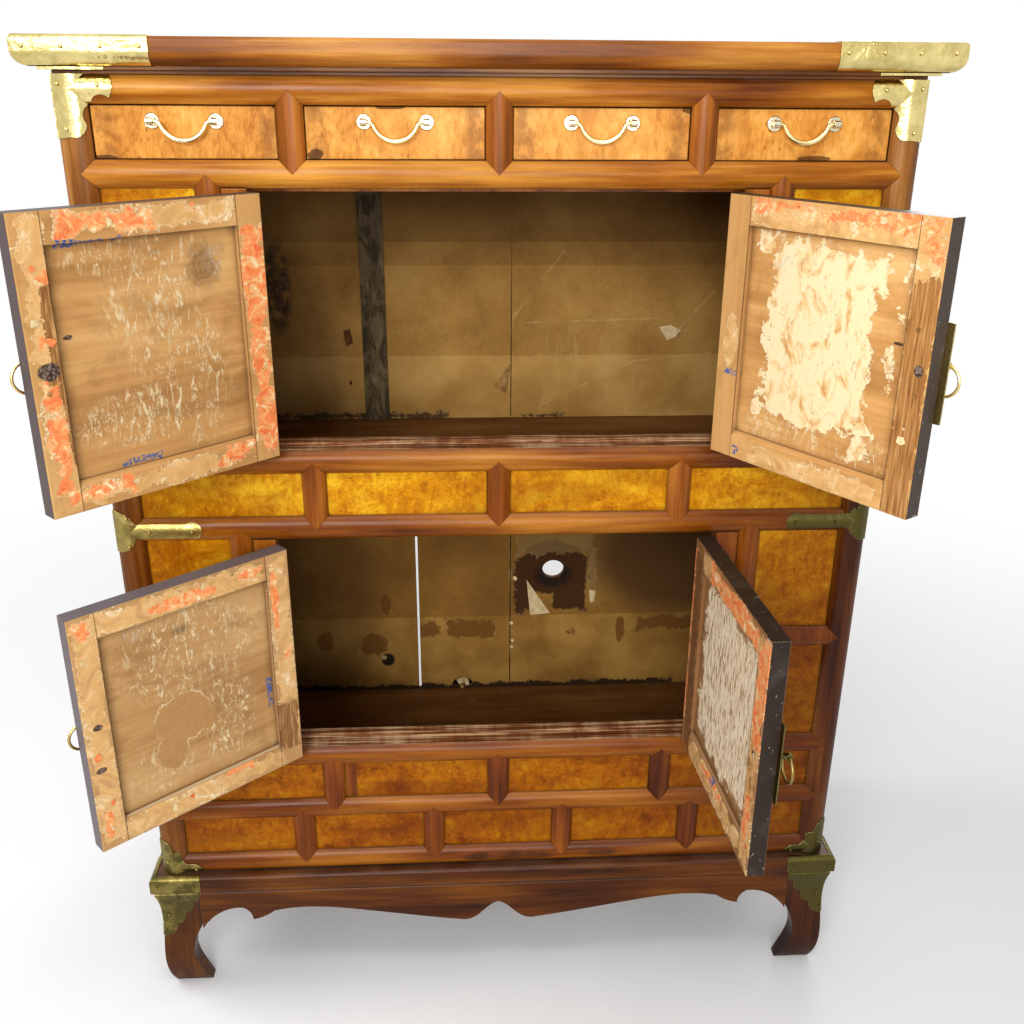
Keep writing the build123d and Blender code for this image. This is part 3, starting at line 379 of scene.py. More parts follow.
def waxed(name, axis, dark, middle, light, seed, dust_and_sheen, marks=None):
    """Oiled and waxed frame wood: rubbed edges, dirt and painted shade in the corners, a pale dusty
    tone and painted sheen on the upward faces.
    """
    g = Graph(name)
    place = g.place()
    surface = wood_surface(g, along(g, place, axis), seed, dark, middle, light, 30, 1.25)
    age_and_shade_by_height(g, place, surface, 0.55, 0.8)
    edge, soft = g.edge(0.0016)
    rub = g.both(edge, g.range(g.noise(place, 60), 0.42, 0.62), 0.5)
    surface.cover(rub, light, 0.5)
    # Painted shade: dark brown in the wider corners and recesses, from an occlusion mask.
    surface.cover(g.range(g.crevice(0.016), 0.3, 0.95, 0.5, 0), srgb(74, 32, 8))
    # Dark dirt in the joints, and painted shade in the tight corners.
    surface.cover(g.range(g.crevice(0.005), 0.25, 0.75, 0.75, 0), srgb(30, 13, 6), 0.6)
    cloud = g.noise(place, 16, 2)
    # Partly dust, partly painted sheen: a pale tone on the upward faces stands in for the light from
    # above reflected there.
    upward = g.range(g.split(g.facing())[2], 0.45, 0.98)
    surface.cover((upward, g.range(cloud, 0.3, 0.7, 0.3 * dust_and_sheen, dust_and_sheen)), srgb(186, 150, 124))
    surface.roughness = g.add(surface.roughness, g.fit(cloud, 0.24, -0.1))
    if marks:
        marks(g, place, surface)
    return surface.finish(soft, WAX)


def burl(name, seed, dark, middle, light, stretch, marks=None):
    """Figured panel: fine squiggles, swirling contours and small dark eyes."""
    g = Graph(name)
    place = g.place()
    figured = g.scale(place, stretch)
    figured = g.vector("ADD", figured, (seed, seed * 0.37, seed * 0.61))
    swirl = g.streaks(figured, (30, 30, 22), 3, 0.6, 1.4)
    contour = g.math("SINE", g.times(swirl, 24))
    squiggle = g.streaks(figured, (330, 330, 110), 3, 0.62, 1.2)
    broad = g.noise(figured, 12, 2, 0.5, 0.5)
    flame = g.streaks(place, (80, 80, 44), 4, 0.55, 0.8)
    tone = g.fit(contour, 0.06, 0.5)
    for noise, amount in ((squiggle, 0.7), (broad, 0.9), (flame, 0.8)):
        tone = g.sway(tone, noise, amount)
    colour = g.ramp(tone, (0.12, dark), (0.5, middle), (0.88, light))
    eyes = g.cells(figured, 85)
    grouped = g.range(g.noise(figured, 26), 0.5, 0.62)
    colour = g.mix(g.both(g.range(eyes, 0.1, 0.24, 0.8, 0), grouped), colour, dark)
    cloudy = g.range(g.noise(figured, 7, 3, 0.6, 0.8), 0.44, 0.66, 0, 0.5)
    colour = g.mix(cloudy, colour, dark)
    roughness = g.fit(squiggle, 0.2, 0.2)
    surface = Surface(g, colour, roughness, g.times(squiggle, 0.0001))
    age_and_shade_by_height(g, place, surface, 0.16, 1)
    # Dark dirt along the panel's edges, and painted shade where the panel sits back in the frame.
    surface.cover(g.range(g.crevice(0.005), 0.3, 0.8, 0.85, 0), srgb(52, 22, 6), 0.6)
    edge, soft = g.edge(0.0014)
    # Painted highlight: the light tone along the sharp edges of the panel, where light would catch
    # them.
    surface.cover((edge, 0.55), light, 0.4)
    if marks:
        marks(g, place, surface, edge)
    return surface.finish(soft, POLISH)


def old_board(name, axis, dark, middle, light, seed, dust_and_sheen, marks=None):
    """Bare board gone dark with age, dusty where dirt settles."""
    g = Graph(name)
    place = g.place()
    surface = wood_surface(g, along(g, place, axis), seed, dark, middle, light, 24, 0.8)
    surface.roughness = g.add(surface.roughness, 0.35)
    # Here the dust and sheen value gives settled dust only.
    settled = g.range(g.noise(place, 30, 5, 0.65), 0.52, 0.75, 0, dust_and_sheen)
    surface.cover(settled, srgb(150, 124, 92), 0.9)
    # Painted shade: near black in the corners and recesses, from an occlusion mask.
    surface.cover(g.range(g.crevice(0.02), 0.3, 0.9, 0.5, 0), srgb(30, 20, 12), 0.9)
    if marks:
        marks(g, place, surface)
    _, soft = g.edge(0.001)
    return surface.finish(soft, BARE)


FRAME_DARK = srgb(92, 40, 4)
FRAME_MIDDLE = srgb(158, 90, 16)
FRAME_LIGHT = srgb(212, 146, 54)


def worn_sill(g, chart, y, surface, mask):
    """Pale worn wood with thin dark lines, as on the sills of the doorways."""
    x, z, _ = g.split(chart.point)
    lines = g.noise(g.join(g.times(x, 0.006), g.times(y, 0.3), z), 1, 3, 0.6)
    worn = g.sway(lines, chart.ragged, 0.3)
    tone = g.ramp(
        worn, (0.38, srgb(72, 34, 12)), (0.5, srgb(124, 70, 32)), (0.62, srgb(210, 178, 138))
    )
    surface.cover(mask, tone, 0.6)


def front_chart(g, place, seed):
    """Depth in millimetres, and the chart of the chest's front."""
    x, y, z = g.split(g.scale(place, (METRES_TO_MM,) * 3))
    return y, Chart(g, x, z, seed)


def stop_marks(g, place, surface):
    """Pale worn stop strips along the foot of each doorway."""
    y, chart = front_chart(g, place, 7)
    strips = chart.soft([("box", -283, 283, 834, 848), ("box", -283, 283, 403, 418)], 0.5)
    worn_sill(g, chart, y, surface, g.both(strips, 0.9))


def rail_marks(g, place, surface):
    """Worn sills, and scorched patches near the middle of the lowest rail."""
    y, chart = front_chart(g, place, 3)
    upward = g.range(g.split(g.facing())[2], 0.8, 0.95)
    sills = chart.soft([("box", -283, 283, 832, 840), ("box", -283, 283, 401, 410)], 0.5)
    worn_sill(g, chart, y, surface, g.both(sills, upward, 0.85))
    scorch = chart.soft([("disc", 14, 214, 66, 9), ("disc", 150, 216, 26, 6)], 12)
    scorch = g.both(scorch, g.range(chart.lobed, 0.36, 0.6, 0.35, 1))
    surface.cover((scorch, 0.8), srgb(52, 26, 8))


def batten_marks(g, place, surface):
    """Only the batten itself is grey: the rails round the back boards are brown."""
    x, y, _ = g.split(place)
    batten = g.both(g.band(x, -0.205, -0.155, 0.001), g.range(y, 0.3712, 0.3706))
    mottle = g.streaks(place, (60, 60, 22), 6, 0.7, 1.2)
    surface.cover((g.range(mottle, 0.42, 0.6), 0.75), srgb(46, 40, 30), 0.9, -0.0004)
    surface.cover((g.range(mottle, 0.4, 0.3), 0.5), srgb(150, 132, 100), 0.9)
    surface.cover((g.math("SUBTRACT", 1, batten), 0.85), srgb(98, 58, 26), 0.7)


def tint(material, *names):
    for name in names:
        for slot in nodes[name].material_slots:
            slot.material = material


def drawer_marks(g, place, surface, edge):
    """Dark rubbed edges and ends of the drawer fronts."""
    _, chart = front_chart(g, place, 11)
    dirt = g.both(edge, g.range(chart.ragged, 0.4, 0.55))
    surface.cover((dirt, 0.9), srgb(70, 38, 16), 0.6)
    for side in (-1, 1):
        for middle in (115, 341):
            centres = (side * middle - 88, side * middle + 88)
            ends = [("box", centre - 12, centre + 12, 1170, 1240) for centre in centres]
            smoked = g.both(chart.soft(ends, 9), g.range(chart.ragged, 0.36, 0.62, 0.1, 0.6))
            surface.cover(smoked, srgb(120, 70, 30))
    rubbed, _ = chart.torn([
        ("disc", -238, 1232, 12, 4), ("disc", -436, 1179, 14, 3), ("disc", -120, 1233, 16, 3),
        ("disc", 216, 1232, 12, 4), ("disc", 360, 1180, 18, 3), ("disc", -205, 1182, 8, 6),
    ], 4, 2)
    surface.cover((rubbed, 0.8), srgb(64, 34, 16), 0.7)


# Material: grain, dark, middle and light tone, seed, dust and painted sheen on the upward faces,
# marks, and the nodes that have it
WAXED = {
    "rail_wood": ("X", FRAME_DARK, FRAME_MIDDLE, FRAME_LIGHT, 1, 0.15, rail_marks, "front_rails"),
    "post_wood": (
        "Z", srgb(84, 42, 12), srgb(140, 86, 34), srgb(186, 130, 68), 2, 0.15, None,
        "front_posts", "rear_posts",
    ),
    "stile_wood": (
        "Z", srgb(92, 42, 8), srgb(158, 88, 24), srgb(200, 130, 54), 3, 0.15, stop_marks,
        "row_stiles", "column_frames", "door_jambs_and_stops",
    ),
    "side_rail_wood": ("Y", FRAME_DARK, FRAME_MIDDLE, FRAME_LIGHT, 4, 0.15, None, "side_rails"),
    "side_panel_wood": (
        "Z", srgb(104, 52, 16), srgb(150, 86, 34), srgb(192, 130, 66), 5, 0.15, None, "side_panels",
    ),
    "base_wood": (
        "X", srgb(60, 28, 4), srgb(108, 60, 8), srgb(160, 104, 30), 6, 0.12, None,
        "base_frame", "base_aprons",
    ),
    "leg_wood": (
        "Z", srgb(50, 25, 4), srgb(92, 52, 9), srgb(136, 88, 28), 7, 0.12, None,
        "front_legs", "rear_legs",
    ),
    "top_wood": (
        "X", srgb(92, 42, 6), srgb(148, 84, 20), srgb(200, 136, 56), 8, 0.2, None, "top_panel",
    ),
    # Painted shade: a darker copy of the top wood, for the board in the shade under the top's
    # overhang.
    "under_top_wood": (
        "X", srgb(60, 28, 6), srgb(104, 58, 18), srgb(148, 98, 46), 9, 0.1, None, "under_top_board",
    ),
}
# Material: seed, dark, middle and light tone, stretch of the figure, marks, and the nodes
BURLS = {
    "burl_panel": (
        3, srgb(148, 78, 2), srgb(222, 149, 10), srgb(255, 210, 44), (0.75, 1, 1.9), None,
        "row_panels", "column_panels",
    ),
    "drawer_wood": (
        9, srgb(170, 98, 30), srgb(220, 150, 64), srgb(242, 182, 96), (1, 1, 0.7), drawer_marks,
        *(f"drawer_{number}_front" for number in DRAWERS),
    ),
}
# The same values as for WAXED; here the dust and sheen value gives settled dust only
OLD_BOARDS = {
    "inner_board": (
        "X", srgb(76, 44, 18), srgb(130, 86, 42), srgb(172, 126, 72), 10, 0.4, None,
        "upper_floor", "lower_floor", "drawer_deck",
    ),
    "batten": (
        "Z", srgb(60, 48, 32), srgb(100, 82, 54), srgb(130, 112, 80), 12, 0.3, batten_marks,
        "back_frame",
    ),
    "drawer_box": (
        "X", srgb(120, 84, 44), srgb(168, 128, 76), srgb(200, 164, 112), 13, 0.1, None,
        *(f"drawer_{number}_box" for number in DRAWERS),
    ),
}


def dress_wood():
    for make, looks, count in ((waxed, WAXED, 7), (burl, BURLS, 6), (old_board, OLD_BOARDS, 7)):
        for name, row in looks.items():
            tint(make(name, *row[:count]), *row[count:])


# Papered back boards


def back_chart(g, seed):
    place = g.place()
    x, _, z = g.split(place)
    return place, Chart(g, g.times(x, METRES_TO_MM), g.times(z, METRES_TO_MM), seed)


def papered_wall(g, place, chart, paper_and_shade_edge, upper, lower):
    """Old paper over boards, in two strips whose edge lies at the given height; the lighter lower
    strip is partly its own paper and partly painted light, where the shade above that height ends.
    """
    cloud = g.noise(place, 7, 4, 0.6)
    fibre = g.noise(place, 320, 3, 0.6)
    tone = g.add(g.times(cloud, 0.8), g.times(fibre, 0.25))
    shade = g.ramp(tone, (0.3, srgb(118, 80, 34)), (0.55, upper), (0.8, lower))
    height = g.fit(fibre, 0.00012, g.times(cloud, 0.002))
    surface = Surface(g, shade, 0.8, height)
    z = g.split(chart.point)[1]
    # The step at that height is partly a paper edge and partly the edge of a painted shadow.
    strip = g.range(g.sway(z, chart.ragged, 8), paper_and_shade_edge + 0.8, paper_and_shade_edge - 0.8)
    light = g.mix(g.range(cloud, 0.35, 0.65), upper, lower)
    surface.cover((strip, 0.85), light, None, 0.0003)
    return surface


def outside_boards(g, place, surface, seed):
    """Bare boards on the outside of the back and round the edges of the boards."""
    outside = g.range(g.split(g.facing())[1], -0.6, -0.3)
    plank = g.random(g.vector("FLOOR", g.vector("DIVIDE", place, (0.165, 5, 5))))
    bare = wood_surface(
        g, along(g, place, "Z"), seed, srgb(74, 44, 22), srgb(118, 78, 44), srgb(150, 108, 68)
    )
    shaded = g.mix(g.times(plank, 0.45), bare.colour, srgb(82, 56, 36))
    surface.cover(outside, shaded, 0.75)


def dress_upper_back():
    g = Graph("upper_paper")
    place, chart = back_chart(g, 5)
    surface = papered_wall(g, place, chart, 844, srgb(170, 126, 62), srgb(200, 158, 90))
    z = g.split(chart.point)[1]
    # Painted shadow: darker bands above 1026 and 990 mm, where the shadows of the rail above fall on
    # the wall.
    surface.cover(g.range(z, 1025, 1027, 0, 0.4), srgb(88, 58, 26))
    surface.cover(g.range(z, 989, 991, 0, 0.28), srgb(96, 64, 30))
    stain = chart.soft([("disc", -330, 955, 22, 70)], 18)
    surface.cover((stain, g.range(chart.ragged, 0.35, 0.6)), srgb(52, 46, 40))
    # Painted shade: a broad dark patch over the left of the wall, where the open door and its jamb
    # shade it.
    surface.cover((chart.soft([("disc", -322, 700, 90, 330)], 60), 0.4), srgb(98, 66, 36))
    spot, _ = chart.torn([("disc", -223, 875, 6, 10), ("disc", -222, 800, 2, 4)], 1.5, 0.6)
    surface.cover(spot, srgb(66, 38, 18), 0.9, -0.0004)
    creases = chart.region([
        ("stroke", (42, 905), (124, 1012), 1.6), ("stroke", (40, 880), (46, 912), 1.8),
        ("stroke", (60, 898), (278, 904), 1.6), ("stroke", (89, 759), (245, 834), 1.5),
        ("stroke", (88, 752), (96, 772), 1.8), ("stroke", (300, 870), (372, 950), 1.5),
        ("stroke", (245, 834), (372, 846), 1.2),
    ])
    wobble = g.add(creases, g.fit(chart.ragged, 10, -5.4))
    crease = g.both(g.range(wobble, -0.9, 0.5), g.range(chart.lobed, 0.34, 0.6, 0.08, 0.45))
    surface.cover(crease, srgb(206, 172, 112), None, 0.0005)
    runs = g.streaks(chart.point, (0.16, 0.012, 0.1), 3, 0.6)
    runs = g.both(g.range(runs, 0.55, 0.68), chart.soft([("box", 90, 250, 762, 900)], 26))
    surface.cover((runs, 0.4), srgb(190, 158, 106), None, 0.0003)
    seam = chart.soft([("box", 40.2, 41.4, 742, 1167)], 0.5)
    fade = g.range(z, 1060, 880, 0.25, 1)
    surface.cover((seam, fade), srgb(24, 16, 10), 0.9, -0.001)
    scuff, rim = chart.torn([("box", -346, -60, 738, 749), ("box", 60, 130, 738, 744)], 6, 4)
    surface.cover(scuff, srgb(88, 62, 36), 0.9, -0.0004)
    surface.cover(rim, srgb(176, 146, 96), 0.9, 0.0003)
    outside_boards(g, place, surface, 5)
    tint(surface.finish(None, BARE), "upper_back_boards")


def dress_lower_back():
    g = Graph("lower_paper")
    place, chart = back_chart(g, 15)
    surface = papered_wall(g, place, chart, 366, srgb(148, 104, 44), srgb(190, 146, 72))
    surface.cover((chart.soft([("disc", -380, 400, 180, 330)], 60), 0.5), srgb(96, 64, 32))
    surface.cover(chart.soft([("disc", 350, 480, 170, 110)], 50), srgb(96, 64, 32))
    bare, rim = chart.torn([
        ("disc", 118, 460, 62, 52), ("box", 50, 90, 374, 470), ("box", 118, 178, 374, 460),
    ], 8, 4)
    surface.cover(bare, srgb(74, 44, 20), 0.85, -0.0005)
    surface.cover((rim, 0.6), srgb(178, 142, 88), 0.9, 0.0003)
    pale, pale_rim = chart.torn([
        ("box", 52, 190, 486, 540), ("box", 181, 196, 392, 500)
    ], 7, 3)
    surface.cover((pale, 0.6), srgb(150, 118, 72), 0.85, 0.0002)
    surface.cover((pale_rim, 0.5), srgb(196, 164, 110), 0.85, 0.0002)
    patches, patch_rim = chart.torn([
        ("disc", -291, 322, 14, 24), ("disc", -181, 396, 10, 22), ("disc", -204, 312, 26, 24),
        ("disc", -104, 341, 20, 16), ("box", -72, 12, 322, 360), ("disc", 154, 337, 8, 10),
        ("disc", 243, 336, 9, 26), ("box", 272, 392, 332, 360),
    ], 9, 5)
    surface.cover((patches, 0.85), srgb(116, 72, 28), 0.85, -0.0003)
    surface.cover((patch_rim, 0.6), srgb(206, 166, 98), 0.85, 0.0003)
    _, seam_rim = chart.torn([("box", 40.6, 42.8, 219, 540)], 1.2, 1.2)
    surface.cover(seam_rim, srgb(190, 156, 104), 0.85, 0.0003)
    surface.cover(chart.soft([("box", 41, 42.6, 219, 540)], 0.5), srgb(26, 16, 8), 0.9, -0.001)
    knot = chart.soft([("disc", -180, 281, 12, 13)], 2.5)
    surface.cover(knot, srgb(44, 30, 20), 0.8, -0.0006)
    fleck, _ = chart.torn([("disc", -187, 286, 5, 4)], 2.5, 1)
    surface.cover(fleck, srgb(190, 160, 110), 0.85)
    scorch = chart.soft([("disc", 118, 446, 34, 24)], 7)
    surface.cover((scorch, g.range(chart.frayed, 0.35, 0.6, 0.3, 1)), srgb(28, 22, 18), 0.8)
    # Painted shade: the hole is drawn near black and pressed in only by bump.
    hole = chart.soft([("disc", -45, 224, 19, 17)], 1)
    surface.cover(hole, srgb(20, 12, 6), 0.9, -0.002)
    chips, _ = chart.torn([("disc", -45, 232, 10, 7)], 7, 3)
    surface.cover(chips, srgb(200, 172, 124), 0.85, 0.0006)
    scuff, rim = chart.torn([("box", -346, 346, 214, 228)], 6, 4)
    surface.cover(scuff, srgb(62, 42, 24), 0.9, -0.0004)
    surface.cover((rim, 0.6), srgb(160, 128, 80), 0.9, 0.0003)
    outside_boards(g, place, surface, 9)
    tint(surface.finish(None, BARE), "lower_back_boards")


# Doors: their inner faces show bare wood, torn paper and old orange paint

STILE = 33.0  # inner edge of the hinge stile, from the hinge axis
FREE_STILE = 249.3
DOOR_HEIGHTS = dict(zip(DOORS, (304.0, 304.0, 307.0, 307.0)))
RAIL = 32.0
FREE_EDGE = 281.2
HINGE_EDGE = 0.8

ORANGE = srgb(238, 118, 66)
BRIGHT_ORANGE = srgb(244, 142, 82)
PEACH = srgb(240, 182, 120)
RED = srgb(224, 74, 42)
PAPER = srgb(236, 196, 140)
CREAM = srgb(250, 232, 190)
BLUE = srgb(70, 96, 150)

# Regions of the doors' inner faces, in millimetres from hinge and foot
DOOR_LOOKS = {
    "upper_left": {
        "wood": (srgb(150, 104, 56), srgb(196, 146, 88), srgb(222, 178, 116)),
        "stile": srgb(206, 158, 98),
        "paper": [
            ("box", 42, 236, 278, 300), ("box", 90, 262, 4, 26), ("box", 250, 276, 60, 300),
        ],
        "orange": [
            ("box", 2, 27, 8, 268), ("disc", 28, 214, 7, 26), ("box", 132, 232, 280, 296),
            ("box", 32, 74, 14, 31), ("box", 190, 268, 8, 24), ("box", 252, 272, 20, 104),
            ("disc", 264, 126, 9, 20), ("disc", 252, 241, 7, 9), ("disc", 264, 180, 6, 10),
            ("box", 82, 88, 276, 300),
        ],
        "bare": [("box", 240, 262, 140, 236), ("box", 243, 252, 50, 140)],
        "scraped": [
            ("disc", 140, 200, 50, 66), ("disc", 96, 112, 36, 66), ("disc", 150, 84, 84, 30),
            ("disc", 150, 252, 76, 18),
        ],
        "blue": [("box", 150, 196, 33, 41), ("box", 170, 236, 268, 274)],
        "dark": [("disc", 263, 152, 12, 9), ("disc", 235, 180, 5, 2.6)],
        "knot": [("disc", 76, 233, 19, 24)],
        "fleck": ("disc", 60, 238, 11, 15),
        "edge": srgb(62, 54, 58),
        "lip": srgb(188, 140, 84),
    },
    "upper_right": {
        "wood": (srgb(168, 116, 62), srgb(210, 156, 92), srgb(232, 188, 124)),
        "stile": srgb(196, 148, 92),
        "paper": [
            ("box", 38, 272, 272, 300), ("box", 248, 276, 250, 300), ("disc", 20, 140, 10, 30),
            ("box", 60, 240, 2, 22),
        ],
        "orange": [
            ("box", 40, 112, 291, 302), ("box", 150, 250, 284, 302), ("box", 256, 274, 264, 303),
            ("stroke", (110, 296), (180, 286), 3),
        ],
        "bare": [("box", 249, 281, 0, 246)],
        "scraped": [("box", 60, 240, 40, 60)],
        "cream": [
            ("box", 66, 204, 60, 262), ("box", 180, 216, 222, 262), ("box", 190, 216, 44, 84),
            ("box", 238, 246, 204, 258), ("disc", 60, 66, 12, 14), ("box", 228, 233, 126, 172),
            ("box", 44, 70, 246, 268),
        ],
        "blue": [("box", 14, 34, 100, 106), ("disc", 40, 10, 5, 6)],
        "dark": [("disc", 270, 155, 6, 6), ("disc", 238, 176, 6, 1.8)],
        "knot": [("disc", 232, 150, 2, 2)],
        "fleck": ("disc", 84, 236, 10, 12),
        "edge": srgb(50, 46, 46),
        "lip": srgb(196, 150, 92),
    },
    "lower_left": {
        "wood": (srgb(140, 98, 56), srgb(184, 140, 88), srgb(208, 168, 114)),
        "stile": srgb(196, 150, 100),
        "paper": [
            ("box", 36, 276, 274, 302), ("box", 250, 278, 4, 300), ("box", 2, 30, 96, 302),
            ("box", 30, 250, 3, 28), ("disc", 10, 60, 10, 22),
        ],
        "orange": [
            ("disc", 142, 286, 44, 9), ("disc", 266, 288, 9, 12), ("disc", 12, 162, 4, 9),
            ("box", 60, 112, 24, 31), ("disc", 24, 250, 6, 40), ("disc", 54, 292, 16, 6),
            ("disc", 268, 30, 6, 20),
        ],
        "bare": [("box", 4, 33, 22, 92)],
        "scraped": [
            ("disc", 142, 218, 84, 58), ("disc", 100, 108, 34, 62), ("disc", 190, 70, 34, 24),
        ],
        "patch": [
            ("disc", 158, 128, 38, 34), ("disc", 176, 92, 20, 30), ("disc", 128, 118, 12, 18),
        ],
        "blue": [("box", 34, 41, 92, 134)],
        "dark": [("disc", 264, 165, 5, 4), ("disc", 268, 109, 6, 3.4)],
        "knot": [("disc", 150, 246, 12, 5)],
        "fleck": ("disc", 206, 262, 12, 9),
        "edge": srgb(92, 84, 90),
        "lip": srgb(184, 168, 140),
    },
    "lower_right": {
        "wood": (srgb(112, 76, 44), srgb(152, 108, 66), srgb(182, 140, 92)),
        "stile": srgb(150, 96, 58),
        "paper": [
            ("box", 36, 276, 274, 302), ("box", 250, 278, 4, 300), ("box", 36, 250, 3, 30),
        ],
        "orange": [
            ("box", 72, 244, 274, 303), ("box", 2, 9, 40, 292), ("box", 252, 279, 170, 296),
            ("box", 90, 170, 18, 28), ("disc", 262, 70, 9, 36),
        ],
        "bare": [("box", 10, 33, 4, 290)],
        "scraped": [("box", 50, 236, 50, 264)],
        "cream": [("box", 44, 238, 44, 262)],
        "blue": [("disc", 136, 26, 7, 5)],
        "dark": [("disc", 264, 156, 4, 4)],
        "knot": [("disc", 110, 180, 4, 4)],
        "fleck": ("disc", 90, 240, 10, 9),
        "edge": srgb(26, 24, 24),
        "lip": srgb(176, 138, 104),
    },
}


def door_place(g, door):
    """Millimetres from the hinge axis, through the door and up from its foot, and facing."""
    hinge = joints[f"{door}_door_hinge"]
    pivot = hinge["pos_m"]
    angle = math.radians(hinge["range_deg"][0])
    side = -1 if door.endswith("left") else 1

    def unturned(vector):
        turned = g.node("VectorRotate", rotation_type="Z_AXIS")
        g.put(turned.inputs["Vector"], g.scale(vector, (side, 1, 1)))
        g.put(turned.inputs["Angle"], angle)
        return turned.outputs[0]

    foot = pivot[2] - DOOR_HEIGHTS[door] * MM / 2
    offset = g.vector("SUBTRACT", g.place(), (pivot[0], pivot[1], foot))
    local = g.scale(unturned(offset), (-METRES_TO_MM, METRES_TO_MM, METRES_TO_MM))
    return local, unturned(g.facing())


